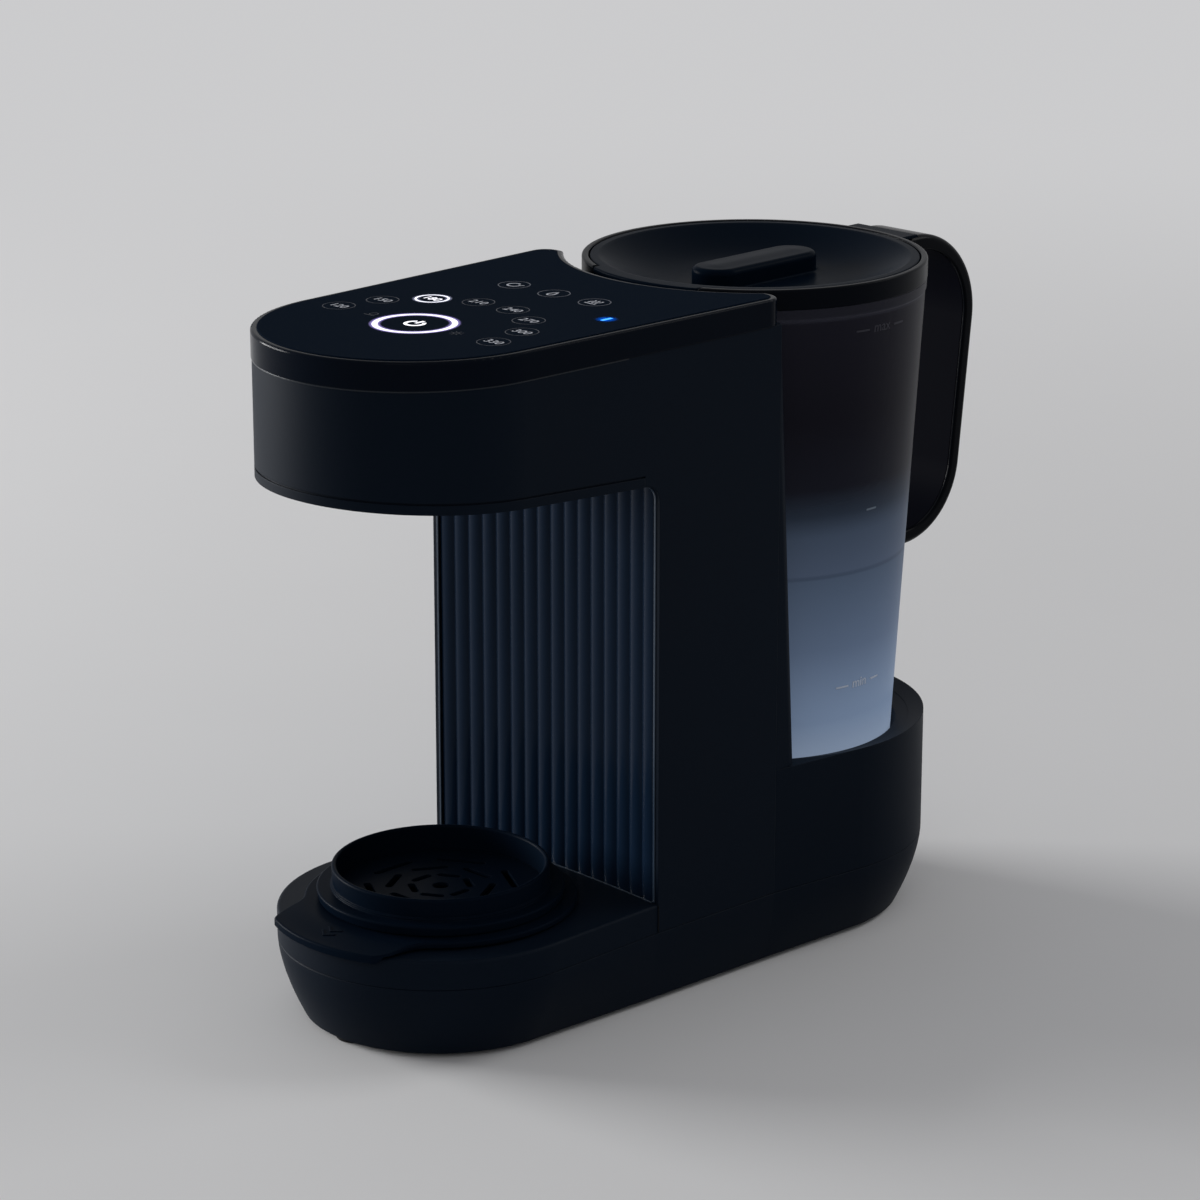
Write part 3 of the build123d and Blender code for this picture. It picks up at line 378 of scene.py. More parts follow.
def glow(name, colour, strength, darkest=0.88, toneScale=60.0, rough=0.35, specular=0.5):
    # a light: a slow noise carries its colour from its darkest share up to the whole
    plain = {"Emission Strength": strength, "Roughness": rough, "Specular IOR Level": specular}
    material, made, shader = newMaterial(name, plain)
    grain = placed(made, mouldGrain, {"Tone Scale": toneScale})
    lit = mixColour(made, np.array(colour) * darkest, colour, grain["Tone"])
    fed(shader["Base Color"], lit)
    fed(shader["Emission Color"], lit)
    return material


def stillWater(name, colour, rough):
    # water in the jug: its pale colour paints the bright light it carries; its tint and its gloss drift
    # slowly, and a fine bump scatters the light
    material, made, shader = newMaterial(name, {"Transmission Weight": 0.4, "IOR": 1.45})
    grain = placed(made, mouldGrain, {"Grain Scale": 3200.0})
    tint = mixColour(made, colour, np.clip(np.array(colour) * 1.15, 0, 1), grain["Tone"])
    fed(shader["Base Color"], tint)
    spread = remapped(made, grain["Tone"], toEnds=(rough - 0.05, rough + 0.05))
    fed(shader["Roughness"], spread)
    bumped(made, shader, grain["Height"], 0.03)
    return material


# jug wall: painted light and shade by height: under the water line the wall is painted bright with light that
# passes through the water, a dark band paints the water's surface, painted shade lies above it, and a painted
# highlight line sits under the rim's ledge
wallPaintedLight = {
    "low": 56.0, "high": 242.0, "rough": 0.4, "alpha": 0.93, "strength": 0.42, "specular": 0.06,
    "stops": (  # height, colour
        (66.0, (0.4, 0.5, 0.66)), (84.0, (0.2, 0.272, 0.4)), (112.0, (0.106, 0.148, 0.228)),
        (139.6, (0.066, 0.093, 0.144)), (140.6, (0.042, 0.06, 0.096)), (141.6, (0.066, 0.09, 0.14)),
        (156.0, (0.048, 0.067, 0.104)), (164.0, (0.0185, 0.0265, 0.042)), (174.0, (0.006, 0.0066, 0.0112)),
        (200.0, (0.0042, 0.0041, 0.0072)), (236.6, (0.0062, 0.0062, 0.0102)), (237.2, (0.022, 0.0225, 0.032)),
        (238.4, (0.0095, 0.0098, 0.0145)),
    ),
}


def paintedLightWall(name):
    # frosted wall: a ramp over Object height paints its light and shade, as its colour and, weaker, as a glow
    # of its own
    w = wallPaintedLight
    plain = {"Alpha": w["alpha"], "Specular IOR Level": w["specular"], "Emission Strength": w["strength"]}
    material, made, shader = newMaterial(name, plain)
    split, ramp = added(made, "SeparateXYZ"), added(made, "ValToRGB")
    marks = ramp.color_ramp.elements
    while len(marks) < len(w["stops"]):
        marks.new(0.5)
    for mark, (at, colour) in zip(marks, w["stops"]):
        mark.position = (at - w["low"]) / (w["high"] - w["low"])
        mark.color = (*colour, 1.0)
    fed(split.inputs["Vector"], added(made, "TexCoord").outputs["Object"])
    height = remapped(made, split.outputs["Z"], (w["low"] * mm, w["high"] * mm))
    fed(ramp.inputs["Fac"], height)
    grain = placed(made, mouldGrain, {"Grain Scale": 3200.0})
    soft = added(made, "Mix", data_type="RGBA", blend_type="MULTIPLY")
    for at, value in ((0, 0.12), (6, ramp.outputs["Color"]), (7, grain["Tone"])):
        fed(soft.inputs[at], value)
    fed(shader["Base Color"], soft.outputs[2])
    # the same painted light and shade also make the wall glow
    fed(shader["Emission Color"], soft.outputs[2])
    spread = remapped(made, grain["Tone"], toEnds=(w["rough"] - 0.04, w["rough"] + 0.04))
    fed(shader["Roughness"], spread)
    bumped(made, shader, grain["Height"], 0.02)
    return material


# finishes: navy mouldings, dark trim, pieces inside, prints, lights, jug and water
# the casing and the trim take a larger share of lighter edges, mostly to paint glints on them
casingMatt = finish("casingMatt", (0.0018, 0.0046, 0.0098), grain=0.016, wear=0.2, specular=0.05,
                    dust=0.002)
panelSatin = finish("panelSatin", (0.0028, 0.0064, 0.013), rough=0.72, grain=0.003, specular=0.005,
                    dust=0.0, wear=0.0)
reedGloss = finish("reedGloss", (0.004, 0.0098, 0.0215), rough=0.2, roughSpread=0.03, grain=0.0,
                   specular=0.05, wear=0.0)
bezelGloss = finish("bezelGloss", (0.0008, 0.0026, 0.0066), rough=0.14, grain=0.0, specular=0.035,
                    dust=0.0, wear=0.0)
trimSatin = finish("trimSatin", (0.0016, 0.0042, 0.0092), rough=0.38, grain=0.004, specular=0.01,
                   dust=0.0, wear=0.3)
lidSatin = finish("lidSatin", (0.0014, 0.0044, 0.0098), rough=0.34, grain=0.006, specular=0.008, dust=0.0)
rimSatin = finish("rimSatin", (0.001, 0.0019, 0.004), rough=0.3, grain=0.004, specular=0.035)
handleGloss = finish("handleGloss", (0.001, 0.0016, 0.003), rough=0.24, grain=0.003, specular=0.035,
                     dust=0.0)
gripGrey = finish("gripGrey", (0.002, 0.0023, 0.0044), rough=0.6, grain=0.016, specular=0.012, dust=0.0)
# a lighter colour that paints highlights on the bead round the reeds
edgeHighlightPaint = finish("edgeHighlightPaint", (0.02, 0.034, 0.055), rough=0.2, grain=0.0, specular=0.5)
# lighter than the casing: paints the highlight line under the bezel
shoulderPaintedSheen = finish("shoulderPaintedSheen", (0.006, 0.01, 0.016), rough=0.3, grain=0.0, specular=0.2,
                       dust=0.0)
seamDark = finish("seamDark", (0.0008, 0.0012, 0.002), rough=0.6, grain=0.0, specular=0.1, wear=0.0)
rubberMatt = finish("rubberMatt", (0.012, 0.012, 0.013), rough=0.75, grain=0.03)
paleSilicone = finish("paleSilicone", (0.5, 0.5, 0.5), tone=0.1, specular=0.5)
whiteMoulding = finish("whiteMoulding", (0.6, 0.6, 0.58), rough=0.45, tone=0.1, specular=0.5)
boardGreen = finish("boardGreen", (0.015, 0.12, 0.045), rough=0.35, tone=0.3, grain=0.01, specular=0.5)
steelSatin = finish("steelSatin", (0.55, 0.55, 0.56), metal=1.0, rough=0.3, grain=0.005, specular=0.5)
guideClear = finish("guideClear", (0.7, 0.7, 0.7), rough=0.3, tone=0.1, specular=0.5)
inkLook = {"rough": 0.45, "grain": 0.0, "wear": 0.0}
printPale = finish("printPale", (0.56, 0.58, 0.64), tone=0.1, **inkLook)
printClear = finish("printClear", (0.12, 0.13, 0.16), tone=0.1, **inkLook)
printFaint = finish("printFaint", (0.05, 0.056, 0.072), tone=0.1, **inkLook)
# one print in three shades: painted shade on the top mark, painted light on the lower two
markInkShaded = finish("markInkShaded", (0.035, 0.035, 0.046), **inkLook)
markInkHalfLit = finish("markInkHalfLit", (0.16, 0.2, 0.25), **inkLook)
markInkLit = finish("markInkLit", (0.52, 0.58, 0.68), **inkLook)
ringGlow = glow("ringGlow", (0.84, 0.79, 1.0), 1.05)
keyGlow = glow("keyGlow", (0.93, 0.93, 1.0), 1.05)
statusGlow = glow("statusGlow", (0.01, 0.27, 1.0), 1.8)
# jug wall with painted light and shade by height
jugFrostPaintedLight = paintedLightWall("jugFrostPaintedLight")
# pale blue-white: painted light of the backlit water
waterClear = stillWater("waterClear", (0.5, 0.66, 0.92), 0.1)

finishOf = {
    casingMatt: "main_housing head_bottom_cover rear_cover base_deck base_pan mains_inlet",
    bezelGloss: "top_bezel nozzle_housing",
    lidSatin: "handle_cap",
    panelSatin: "touch_panel",
    reedGloss: "splash_panel",
    trimSatin: "drip_tray bottle_stand stand_grid jug_lid jug_rim jug_handle",
    gripGrey: "handle_grip",
    rubberMatt: "rubber_feet pump_cradle inlet_lead thermostat",
    paleSilicone: "nozzle_tip socket_seal suction_hose pump_hose nozzle_hose valve_seal lid_seal "
                  "control_loom",
    whiteMoulding: "jug_socket pump_casing pump_rotor heater_caps lower_shelf upper_clamp jug_valve_body "
                   "valve_plunger",
    boardGreen: "control_board power_board",
    steelSatin: "base_screws pump_motor heater_tube inlet_pins valve_spring",
    ringGlow: "power_ring",
    guideClear: "key_light_guides",
    jugFrostPaintedLight: "jug_shell",
}
for material, names in finishOf.items():
    for name in names.split():
        nodes[name].material_slots[0].material = material
missing = set(nodes) - {name for names in finishOf.values() for name in names.split()}
print("materials given; without one:", sorted(missing))


def boxOf(node):
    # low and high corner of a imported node, in millimetres
    return np.array([tuple(corner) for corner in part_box(node)]) / mm


# places that several pieces share
standBox, jugBox, panelBox = boxOf("bottle_stand"), boxOf("jug_shell"), boxOf("touch_panel")
standPlace, jugPlace = ((0.0, box[:, 1].mean()) for box in (standBox, jugBox))
jugFoot, panelTop = jugBox[0, 2], panelBox[1, 2]
panelRound = 53.3  # radius of the touch panel's round front
headPlace = (0.0, panelBox[0, 1] + panelRound)
panelFront = -49.15  # front of the reeds in the middle of the splash panel
print("stand at y", round(standPlace[1], 2), "jug at y", round(jugPlace[1], 2))


# touch keys: an arc of volumes, a row of functions, the power key and a status light; sizes of their lines
keys = {
    "volumes": ("120", "150", "180", "210", "240", "270", "300", "330"), "lit": 2, "arcRadius": 38.6,
    "size": 5.2, "ring": 5.65, "line": 0.3, "rowLine": 0.35, "litRing": 5.75, "litLine": 0.75, "sink": 0.05,
    "rise": 0.03, "rowBack": 65.7, "rowPitch": 20.0, "powerRadius": 3.25, "powerLine": 1.3,
    "powerStem": (0.3, 2.3, 4.3), "side": 20.6, "status": (41.4, -61.4), "statusStep": 1.65,
    "statusHalf": 0.8, "statusWide": 1.5, "iconLine": 0.7, "faintLine": 0.3,
}
keyHeights = (panelTop - keys["sink"], panelTop + keys["rise"])

# light that bleeds into the panel: radius and half width of the lit line, reach, colour and strength
halos = {
    "statusHalo": (0.0, 0.0, 4.4, (0.0, 0.1, 0.62), 0.5),
    "litHalo": (5.75, 0.45, 1.0, (0.4, 0.42, 0.6), 0.2),
    "powerHalo": (13.6, 1.1, 1.2, (0.36, 0.3, 0.72), 0.26),
}


def printed(path, line, closed=False):
    # a flat line on the panel
    return stroke(path, line, *keyHeights, closed)


def makeKeys():
    # rings are circles about each key, numbers stand upright to someone in front of the machine
    k, lit = keys, keys["lit"]
    angle = math.pi - np.arange(len(k["volumes"])) * math.pi / (len(k["volumes"]) - 1)
    places = np.array(headPlace) + k["arcRadius"] * np.stack([np.cos(angle), np.sin(angle)], axis=1)
    row = [(x, headPlace[1] + k["rowBack"]) for x in (-k["rowPitch"], 0.0, k["rowPitch"])]
    for name, slot, group, radius, line, material in (
        ("keyRings", "touch_panel", np.delete(places, lit, axis=0), k["ring"], k["line"], printFaint),
        ("functionRings", "touch_panel", row, k["ring"], k["rowLine"], printClear),
        ("litRing", "key_light_guides", [places[lit]], k["litRing"], k["litLine"], keyGlow),
    ):
        rings = [printed(arcPath(place, radius, 0, 354, 60), line, closed=True) for place in group]
        dressed(surface(name, *rings), "housing", slot, material)

    words = [(word, x, y, k["size"]) for word, (x, y) in zip(k["volumes"], places)]
    litWord = words.pop(lit)
    for name, group, material in (("keyNumbers", words, printPale), ("litNumber", [litWord], keyGlow)):
        mesh = lettering(name, group, np.ptp(keyHeights))
        moved(mesh, lambda x, y, z: (x, y, z + np.mean(keyHeights)))
        dressed(closedPiece(name, mesh), "housing", "touch_panel", material)

    stem = [(headPlace[0], headPlace[1] + step) for step in k["powerStem"]]
    arc = arcPath(headPlace, k["powerRadius"], 122, 418)
    power = [printed(path, k["powerLine"]) for path in (arc, stem)]
    dressed(surface("powerSymbol", *power), "housing", "key_light_guides", keyGlow)
    makeIcons(row)

    x, y = k["status"]
    dashes = []
    for middle in (y - k["statusStep"], y, y + k["statusStep"]):
        dash = [(x, middle + end) for end in (-k["statusHalf"], 0, k["statusHalf"])]
        dashes.append(printed(dash, k["statusWide"]))
    dressed(surface("statusLight", *dashes), "housing", "key_light_guides", statusGlow)
    for name, place in (("statusHalo", (x, y)), ("litHalo", places[lit]), ("powerHalo", headPlace)):
        makeHalo(name, place, *halos[name])


def makeHalo(name, middle, radius, half, reach, colour, strength):
    # thin glowing discs on both sides of a lit line paint the glow it spreads over the panel: their cover
    # fades with the distance from the line's edge
    material = glow(name, colour, 1.0, darkest=0.9, toneScale=9.0, rough=0.6, specular=0.0)
    made = material.node_tree.nodes
    apart = added(made, "VectorMath", operation="DISTANCE")
    apart.inputs[1].default_value = (middle[0] * mm, middle[1] * mm, (panelTop + 0.015) * mm)
    fed(apart.inputs[0], added(made, "TexCoord").outputs["Object"])
    off = combined(made, "SUBTRACT", apart.outputs["Value"], radius * mm)
    off = combined(made, "ABSOLUTE", off)
    ends = ((half + reach) * mm, half * mm)
    cover = remapped(made, off, ends, (0.0, strength), "SMOOTHSTEP")
    fed(made["Principled BSDF"].inputs["Alpha"], cover)
    angle = np.linspace(0, 2 * math.pi, 72, endpoint=False)[:, None]
    z = np.array([[0.02, 0.02, 0.01, 0.01]]) + panelTop
    grids = []
    inner, outer = max(radius - half - reach, 0.0), radius + half + reach
    for near, far in ((radius + half, outer), (inner, radius - half)):
        if far > near:
            r = np.array([[near, far, far, near]])
            x, y = middle[0] + r * np.cos(angle), middle[1] + r * np.sin(angle)
            grids.append((np.stack([x, y, z + 0 * angle], axis=-1), True, near > 0))
    dressed(surface(name, *grids), "housing", "key_light_guides", material)


def makeIcons(row):
    # plain pictograms: a returning arrow, a drop and rising steam; two faint marks beside the power key
    line, faint = keys["iconLine"], keys["faintLine"]
    (ax, ay), (bx, by), (cx, cy) = row
    t = np.linspace(0, 2 * math.pi, 48, endpoint=False)
    drop = np.stack([bx + 1.75 * np.sin(t) * np.sin(t / 2) ** 1.2, by - 0.4 + 2.6 * np.cos(t)], axis=1)
    wave = np.linspace(-1, 1, 16)
    icons = [
        printed(arcPath((ax, ay), 2.4, 70, 370), line),
        printed([(ax + 1.2, ay + 1.3), (ax + 2.5, ay + 0.35), (ax + 3.5, ay + 1.6)], line),
        printed(drop, line, closed=True),
        printed([(cx - 2.6, cy - 2.2), (cx, cy - 2.35), (cx + 2.6, cy - 2.2)], line),
    ]
    for shift in (-1.7, 0, 1.7):
        rise = np.stack([cx + shift + 0.45 * np.sin(wave * 3), cy + 0.6 + 1.9 * wave], axis=1)
        icons.append(printed(rise, line))
    dressed(surface("functionIcons", *icons), "housing", "touch_panel", printPale)
    left, right = (-keys["side"], headPlace[1]), np.array([keys["side"], headPlace[1]])
    circles = ((left, 1.5), (right, 1.1))
    marks = [printed(arcPath(place, r, 0, 350), faint, closed=True) for place, r in circles]
    for turn in np.radians(np.arange(0, 360, 45)):
        way = np.array([math.cos(turn), math.sin(turn)])
        marks.append(printed([right + way * far for far in (1.7, 2.1, 2.5)], faint))
    marks.append(printed([(left[0] + across, left[1] - 2.2) for across in (-2.6, 0, 2.6)], faint))
    dressed(surface("heatMarks", *marks), "housing", "touch_panel", printFaint)


# bottle stand: a low ring on a flange, with a groove in its underside
stand = {
    "bore": 36.8, "ledge": 34.6, "outer": 38.6, "top": 54.3, "flange": 46.5, "flangeRadius": 44.1,
    "skirt": 42.9, "skirtRadius": 43.4, "rimRound": 0.85, "edgeRound": 0.75, "gridLow": 43.9,
    "grooveIn": 38.9, "grooveOut": 41.6, "grooveTop": 44.4, "beadOut": 0.35, "beadTop": 1.0,
}


def makeStand():
    # turned section: rim, wall, a fine bead at its foot, flange and skirt, with rounded edges
    s = stand
    corners = [
        (s["ledge"], s["skirt"]), (s["outer"], s["skirt"]), (s["grooveIn"], s["grooveTop"]),
        (s["grooveOut"], s["grooveTop"]), (s["grooveOut"] - 0.4, s["skirt"]), (s["skirtRadius"], s["skirt"]),
        (s["flangeRadius"], s["flange"]), (s["outer"] + s["beadOut"], s["flange"]),
        (s["outer"] + s["beadOut"] - 0.05, s["flange"] + s["beadTop"] - 0.1),
        (s["outer"] - 0.3, s["flange"] + s["beadTop"] + 0.1), (s["outer"], s["top"]), (s["bore"], s["top"]),
        (s["bore"], s["gridLow"]), (s["ledge"], s["gridLow"]),
    ]
    edge, rim = s["edgeRound"], s["rimRound"]
    radii = [0.2, 0.2, 0.2, 0.2, 0.2, 0.3, edge, 0.25, 0.25, 0.25, rim, rim, 0.05, 0.2]
    ring = surface("bottleStand", (turned(rounded(corners, radii), standPlace, 200), True, True))
    dressed(ring, "bottle_stand", "bottle_stand", trimSatin, "bottle_stand")


# drip tray: a funnel in a round plate, whose tongue sweeps out over the base's front and droops to a lip
tray = {
    "floor": 28.5, "floorRadius": 20.0, "slope": 1.5, "top": 42.5, "skin": 2.4, "plate": 48.3,
    "plateLow": 40.3, "flat": 46.0, "lip": 61.2, "lipInner": 58.6, "lipLow": 38.2, "halfWidth": 28.9,
    "corner": 9.5, "sweep": 7.0, "droop": 1.3, "underTongue": 40.05, "edge": 0.8, "hangFrom": 59.0,
    "markBack": 52.5, "markHalf": 3.2, "markLine": 0.9, "markGap": 1.6,
}


def trayRadius(angle):
    # outline from the stand's axis: the plate's circle, softly joined to a tongue of straight sides and a
    # round lip; and how far the lip hangs there, from 0 to 1
    off = np.abs(angle)
    side = tray["halfWidth"] / np.maximum(np.sin(np.clip(off, 0.02, math.pi / 2)), 0.05)
    tongue = softLower(tray["lip"], side, tray["corner"])
    tongue = np.where(off < math.pi / 2, tongue, 0)
    return softUpper(tray["plate"], tongue, tray["sweep"]), smoothStep((tongue - tray["hangFrom"]) / 2)


def trayTop(r):
    # the plate's height, falling smoothly towards the lip
    return tray["top"] - tray["droop"] * smoothStep((r - tray["plate"] + 0.8) / (tray["lip"] - tray["plate"]))


def makeTray():
    # every section runs out from the axis: funnel, plate, then a stretch that reaches as far as the outline
    # does at that angle, round its edge, and back underneath
    t, flat, edge = tray, tray["flat"], tray["edge"]
    angle = fineFront(60, 361, 181)
    reach, hang = trayRadius((angle + math.pi) % (2 * math.pi) - math.pi)
    lowFloor = t["floor"] - t["skin"]
    mouth = t["floorRadius"] + (t["top"] - t["floor"]) * t["slope"]
    underMouth = t["floorRadius"] + (t["plateLow"] - lowFloor) * t["slope"]
    inner = [(0, t["floor"]), (t["floorRadius"], t["floor"]), (mouth, t["top"]), (flat, t["top"])]
    under = [(flat, t["plateLow"]), (underMouth, t["plateLow"]), (t["floorRadius"], lowFloor), (0, lowFloor)]
    inner = rounded(inner, [0, 3, 1.0, 0], closed=False)
    under = rounded(under, [0, 0.5, 3, 0], closed=False)[1:]
    edgeRadius = reach - edge
    outR = flat + (edgeRadius - flat) * np.linspace(0, 1, 14)[None, 1:]
    turn = np.linspace(0, math.pi / 2, 7)[None, 1:]
    bend = (edgeRadius + edge * np.sin(turn), trayTop(edgeRadius) - edge * (1 - np.cos(turn)))
    underZ = t["underTongue"] + (t["plateLow"] - t["underTongue"]) * (1 - hang)
    lowZ = underZ + (t["lipLow"] - underZ) * hang
    innerR = np.minimum(t["lipInner"], reach - 0.7)
    back = [
        (reach, lowZ + 0.3), (reach - 0.25, lowZ), (innerR + 0.25, lowZ), (innerR, lowZ + 0.25 * hang),
        (innerR - 0.3, underZ), (flat, t["plateLow"]),
    ]
    r, z = joined(reach, inner.T[:, None], (outR, trayTop(outR)), bend, *back, under.T[:, None])
    points = np.stack([r * np.sin(angle), standPlace[1] - r * np.cos(angle), z], axis=-1)
    dressed(surface("dripTray", (points, True, False)), "drip_tray", "drip_tray", trimSatin, "drip_tray")

    # raised mark on the tongue: two chevrons that point to the pull
    wide, chevrons = t["markHalf"], []
    for y in (standPlace[1] - t["markBack"] + step for step in (t["markGap"], -t["markGap"])):
        chevrons.append(stroke([(-wide, y + 1.4), (0, y - 0.9), (wide, y + 1.4)], t["markLine"], 0, 0.35))
    mark = surface("trayMark", *chevrons)
    moved(mark.data, lambda x, y, z: (x, y, z + trayTop(np.hypot(x, y - standPlace[1])) - 0.1), mm)
    dressed(mark, "drip_tray", "drip_tray", trimSatin)


# jug: a frosted tapering wall under a dark rim, with water in it
jug = {
    "taper": 0.0576, "foot": 52.5, "wall": 2.4, "floor": 60.0, "floorWall": 2.4, "neck": 9.0, "rimLow": 241.5,
    "ledge": 237.8, "ledgeDepth": 0.35, "water": 141.0, "waterGap": 0.15, "valveRoom": (10.6, 79.5),
    "rim": 63.3, "rimTop": 249.0, "rimBore": 60.8, "seat": 58.0, "seatTop": 244.8, "notch": 26.0,
    "notchTop": 245.2,
}


def jugRadius(z):
    # outside of the wall: it spreads evenly with height
    return jug["foot"] + jug["taper"] * (z - jugFoot)


def makeJug():
    # turned sections of the wall and of the water inside it
    j = jug
    inside = lambda z: jugRadius(z) - j["wall"]
    low = j["floor"] + j["floorWall"]
    corners = [
        (j["foot"] - j["wall"], j["floor"]), (j["foot"] - j["wall"], jugFoot), (j["foot"], jugFoot),
        (jugRadius(j["ledge"]) - j["ledgeDepth"], j["ledge"] - 0.5), (jugRadius(j["ledge"]), j["ledge"]),
        (jugRadius(j["rimLow"]), j["rimLow"]), (inside(j["rimLow"]), j["rimLow"]), (inside(low), low),
        (j["neck"], low), (j["neck"], j["floor"]),
    ]
    radii = [1.0, 0.7, 0.8, 0.2, 0.2, 0.05, 0.05, 3.0, 0.05, 0.05]
    wall = turned(rounded(corners, radii), jugPlace, 220)
    dressed(surface("jugShell", (wall, True, True)), "jug", "jug_shell", jugFrostPaintedLight, "jug_shell")

    g, (roomR, roomZ) = j["waterGap"], j["valveRoom"]
    level = j["water"]
    outline = rounded([
        (0, level), (inside(level) - g, level + 0.5), (inside(low) - g, low + g), (roomR, low + g),
        (roomR, roomZ), (0, roomZ)], [0, 0.4, 2.8, 0.3, 1.0, 0], closed=False)
    dressed(surface("water", (turned(outline, jugPlace, 160), True, False)), "jug", "jug_shell", waterClear)
    makeMarks()

    # rim band: a turned section whose upper part sinks at the front to leave the pouring notch
    band = rounded([
        (j["seat"], j["rimLow"]), (j["rim"], j["rimLow"]), (j["rim"], j["rimTop"]),
        (j["rimBore"], j["rimTop"]), (j["rimBore"], j["seatTop"]), (j["seat"], j["seatTop"])],
        [0.3, 0.5, 0.8, 0.6, 0.4, 0.3])
    angle = fineFront(34, 273, 147)
    r, z = band[None, :, 0], band[None, :, 1] + 0 * angle
    x, y = r * np.sin(angle), -r * np.cos(angle)
    base = j["seatTop"] + 0.1
    level = j["notchTop"] + (j["rimTop"] - j["notchTop"]) * smoothStep((np.abs(x) - j["notch"] + 0.4) / 0.9)
    level = np.where(y < 0, level, j["rimTop"])
    z = np.where(z > base, base + (z - base) * (level - base) / (j["rimTop"] - base), z)
    points = np.stack([x, jugPlace[1] + y, z], axis=-1)
    dressed(surface("jugRim", (points, True, True)), "jug", "jug_rim", rimSatin, "jug_rim")


# level marks: height, word, ends of the bars along the wall, finish; one print in three shades that follow
# the wall's painted light: darkest in the painted shade near the rim, lightest where the wall is painted
# bright low down
levelMarks = {
    "markMax": (231.5, "max", ((-13.0, -7.0), (6.2, 12.2)), markInkShaded),
    "markHalf": (163.5, "", ((-2.6, 2.6),), markInkHalfLit),
    "markMin": (96.5, "min", ((-12.0, -6.2), (6.0, 11.0)), markInkLit),
}
marking = {"line": 0.7, "rise": 0.12, "sink": 0.05, "word": (-0.4, 0.3, 5.2), "turn": 0.5}


def makeMarks():
    # bars and words laid flat, then wrapped round the wall; its line leans in by a share of the ledge's depth
    m = marking
    for name, (middle, word, bars, material) in levelMarks.items():
        lines = [np.stack([np.linspace(*ends, 9), np.zeros(9)], axis=1) for ends in bars]
        mark = surface(name, *(stroke(line, m["line"], -m["sink"], m["rise"]) for line in lines))
        work = bmesh.new()
        work.from_mesh(mark.data)
        if word:
            text = lettering(name + "Word", [(word, *m["word"])], m["rise"] * 2)
            text.transform(Matrix.Scale(mm, 4))
            work.from_mesh(text)
        work.to_mesh(mark.data)
        work.free()

        def wrapped(x, y, z):
            height = middle + y
            share = (height - jugFoot) / (jug["ledge"] - jugFoot)
            r = jugRadius(height) - jug["ledgeDepth"] * share + z
            around = x / jugRadius(middle) + math.radians(m["turn"])
            return jugPlace[0] + r * np.cos(around), jugPlace[1] + r * np.sin(around), height
        moved(mark.data, wrapped, mm)
        dressed(closedPiece(name, mark.data), "jug", "jug_shell", material)


# lid: a dish inside a flat lip, which fills the pouring notch, and a long grip across the dish
lid = {
    "radius": 60.4, "top": 248.8, "under": 245.2, "underLip": 59.5, "frontRadius": 63.3, "frontHalf": 25.6,
    "dish": 240.0, "dishRadius": 28.0, "lipInner": 57.0, "thick": 2.0, "skirt": 56.4, "skirtLow": 242.2,
    "skirtWall": 1.8, "underDish": (31.0, 44.0), "edge": 0.7, "gripLong": 58.0, "gripWide": 19.0,
    "gripTop": 247.5, "gripRound": 2.3, "gripFoot": 0.9, "gripCrown": 0.25, "gripDeep": 1.0,
}


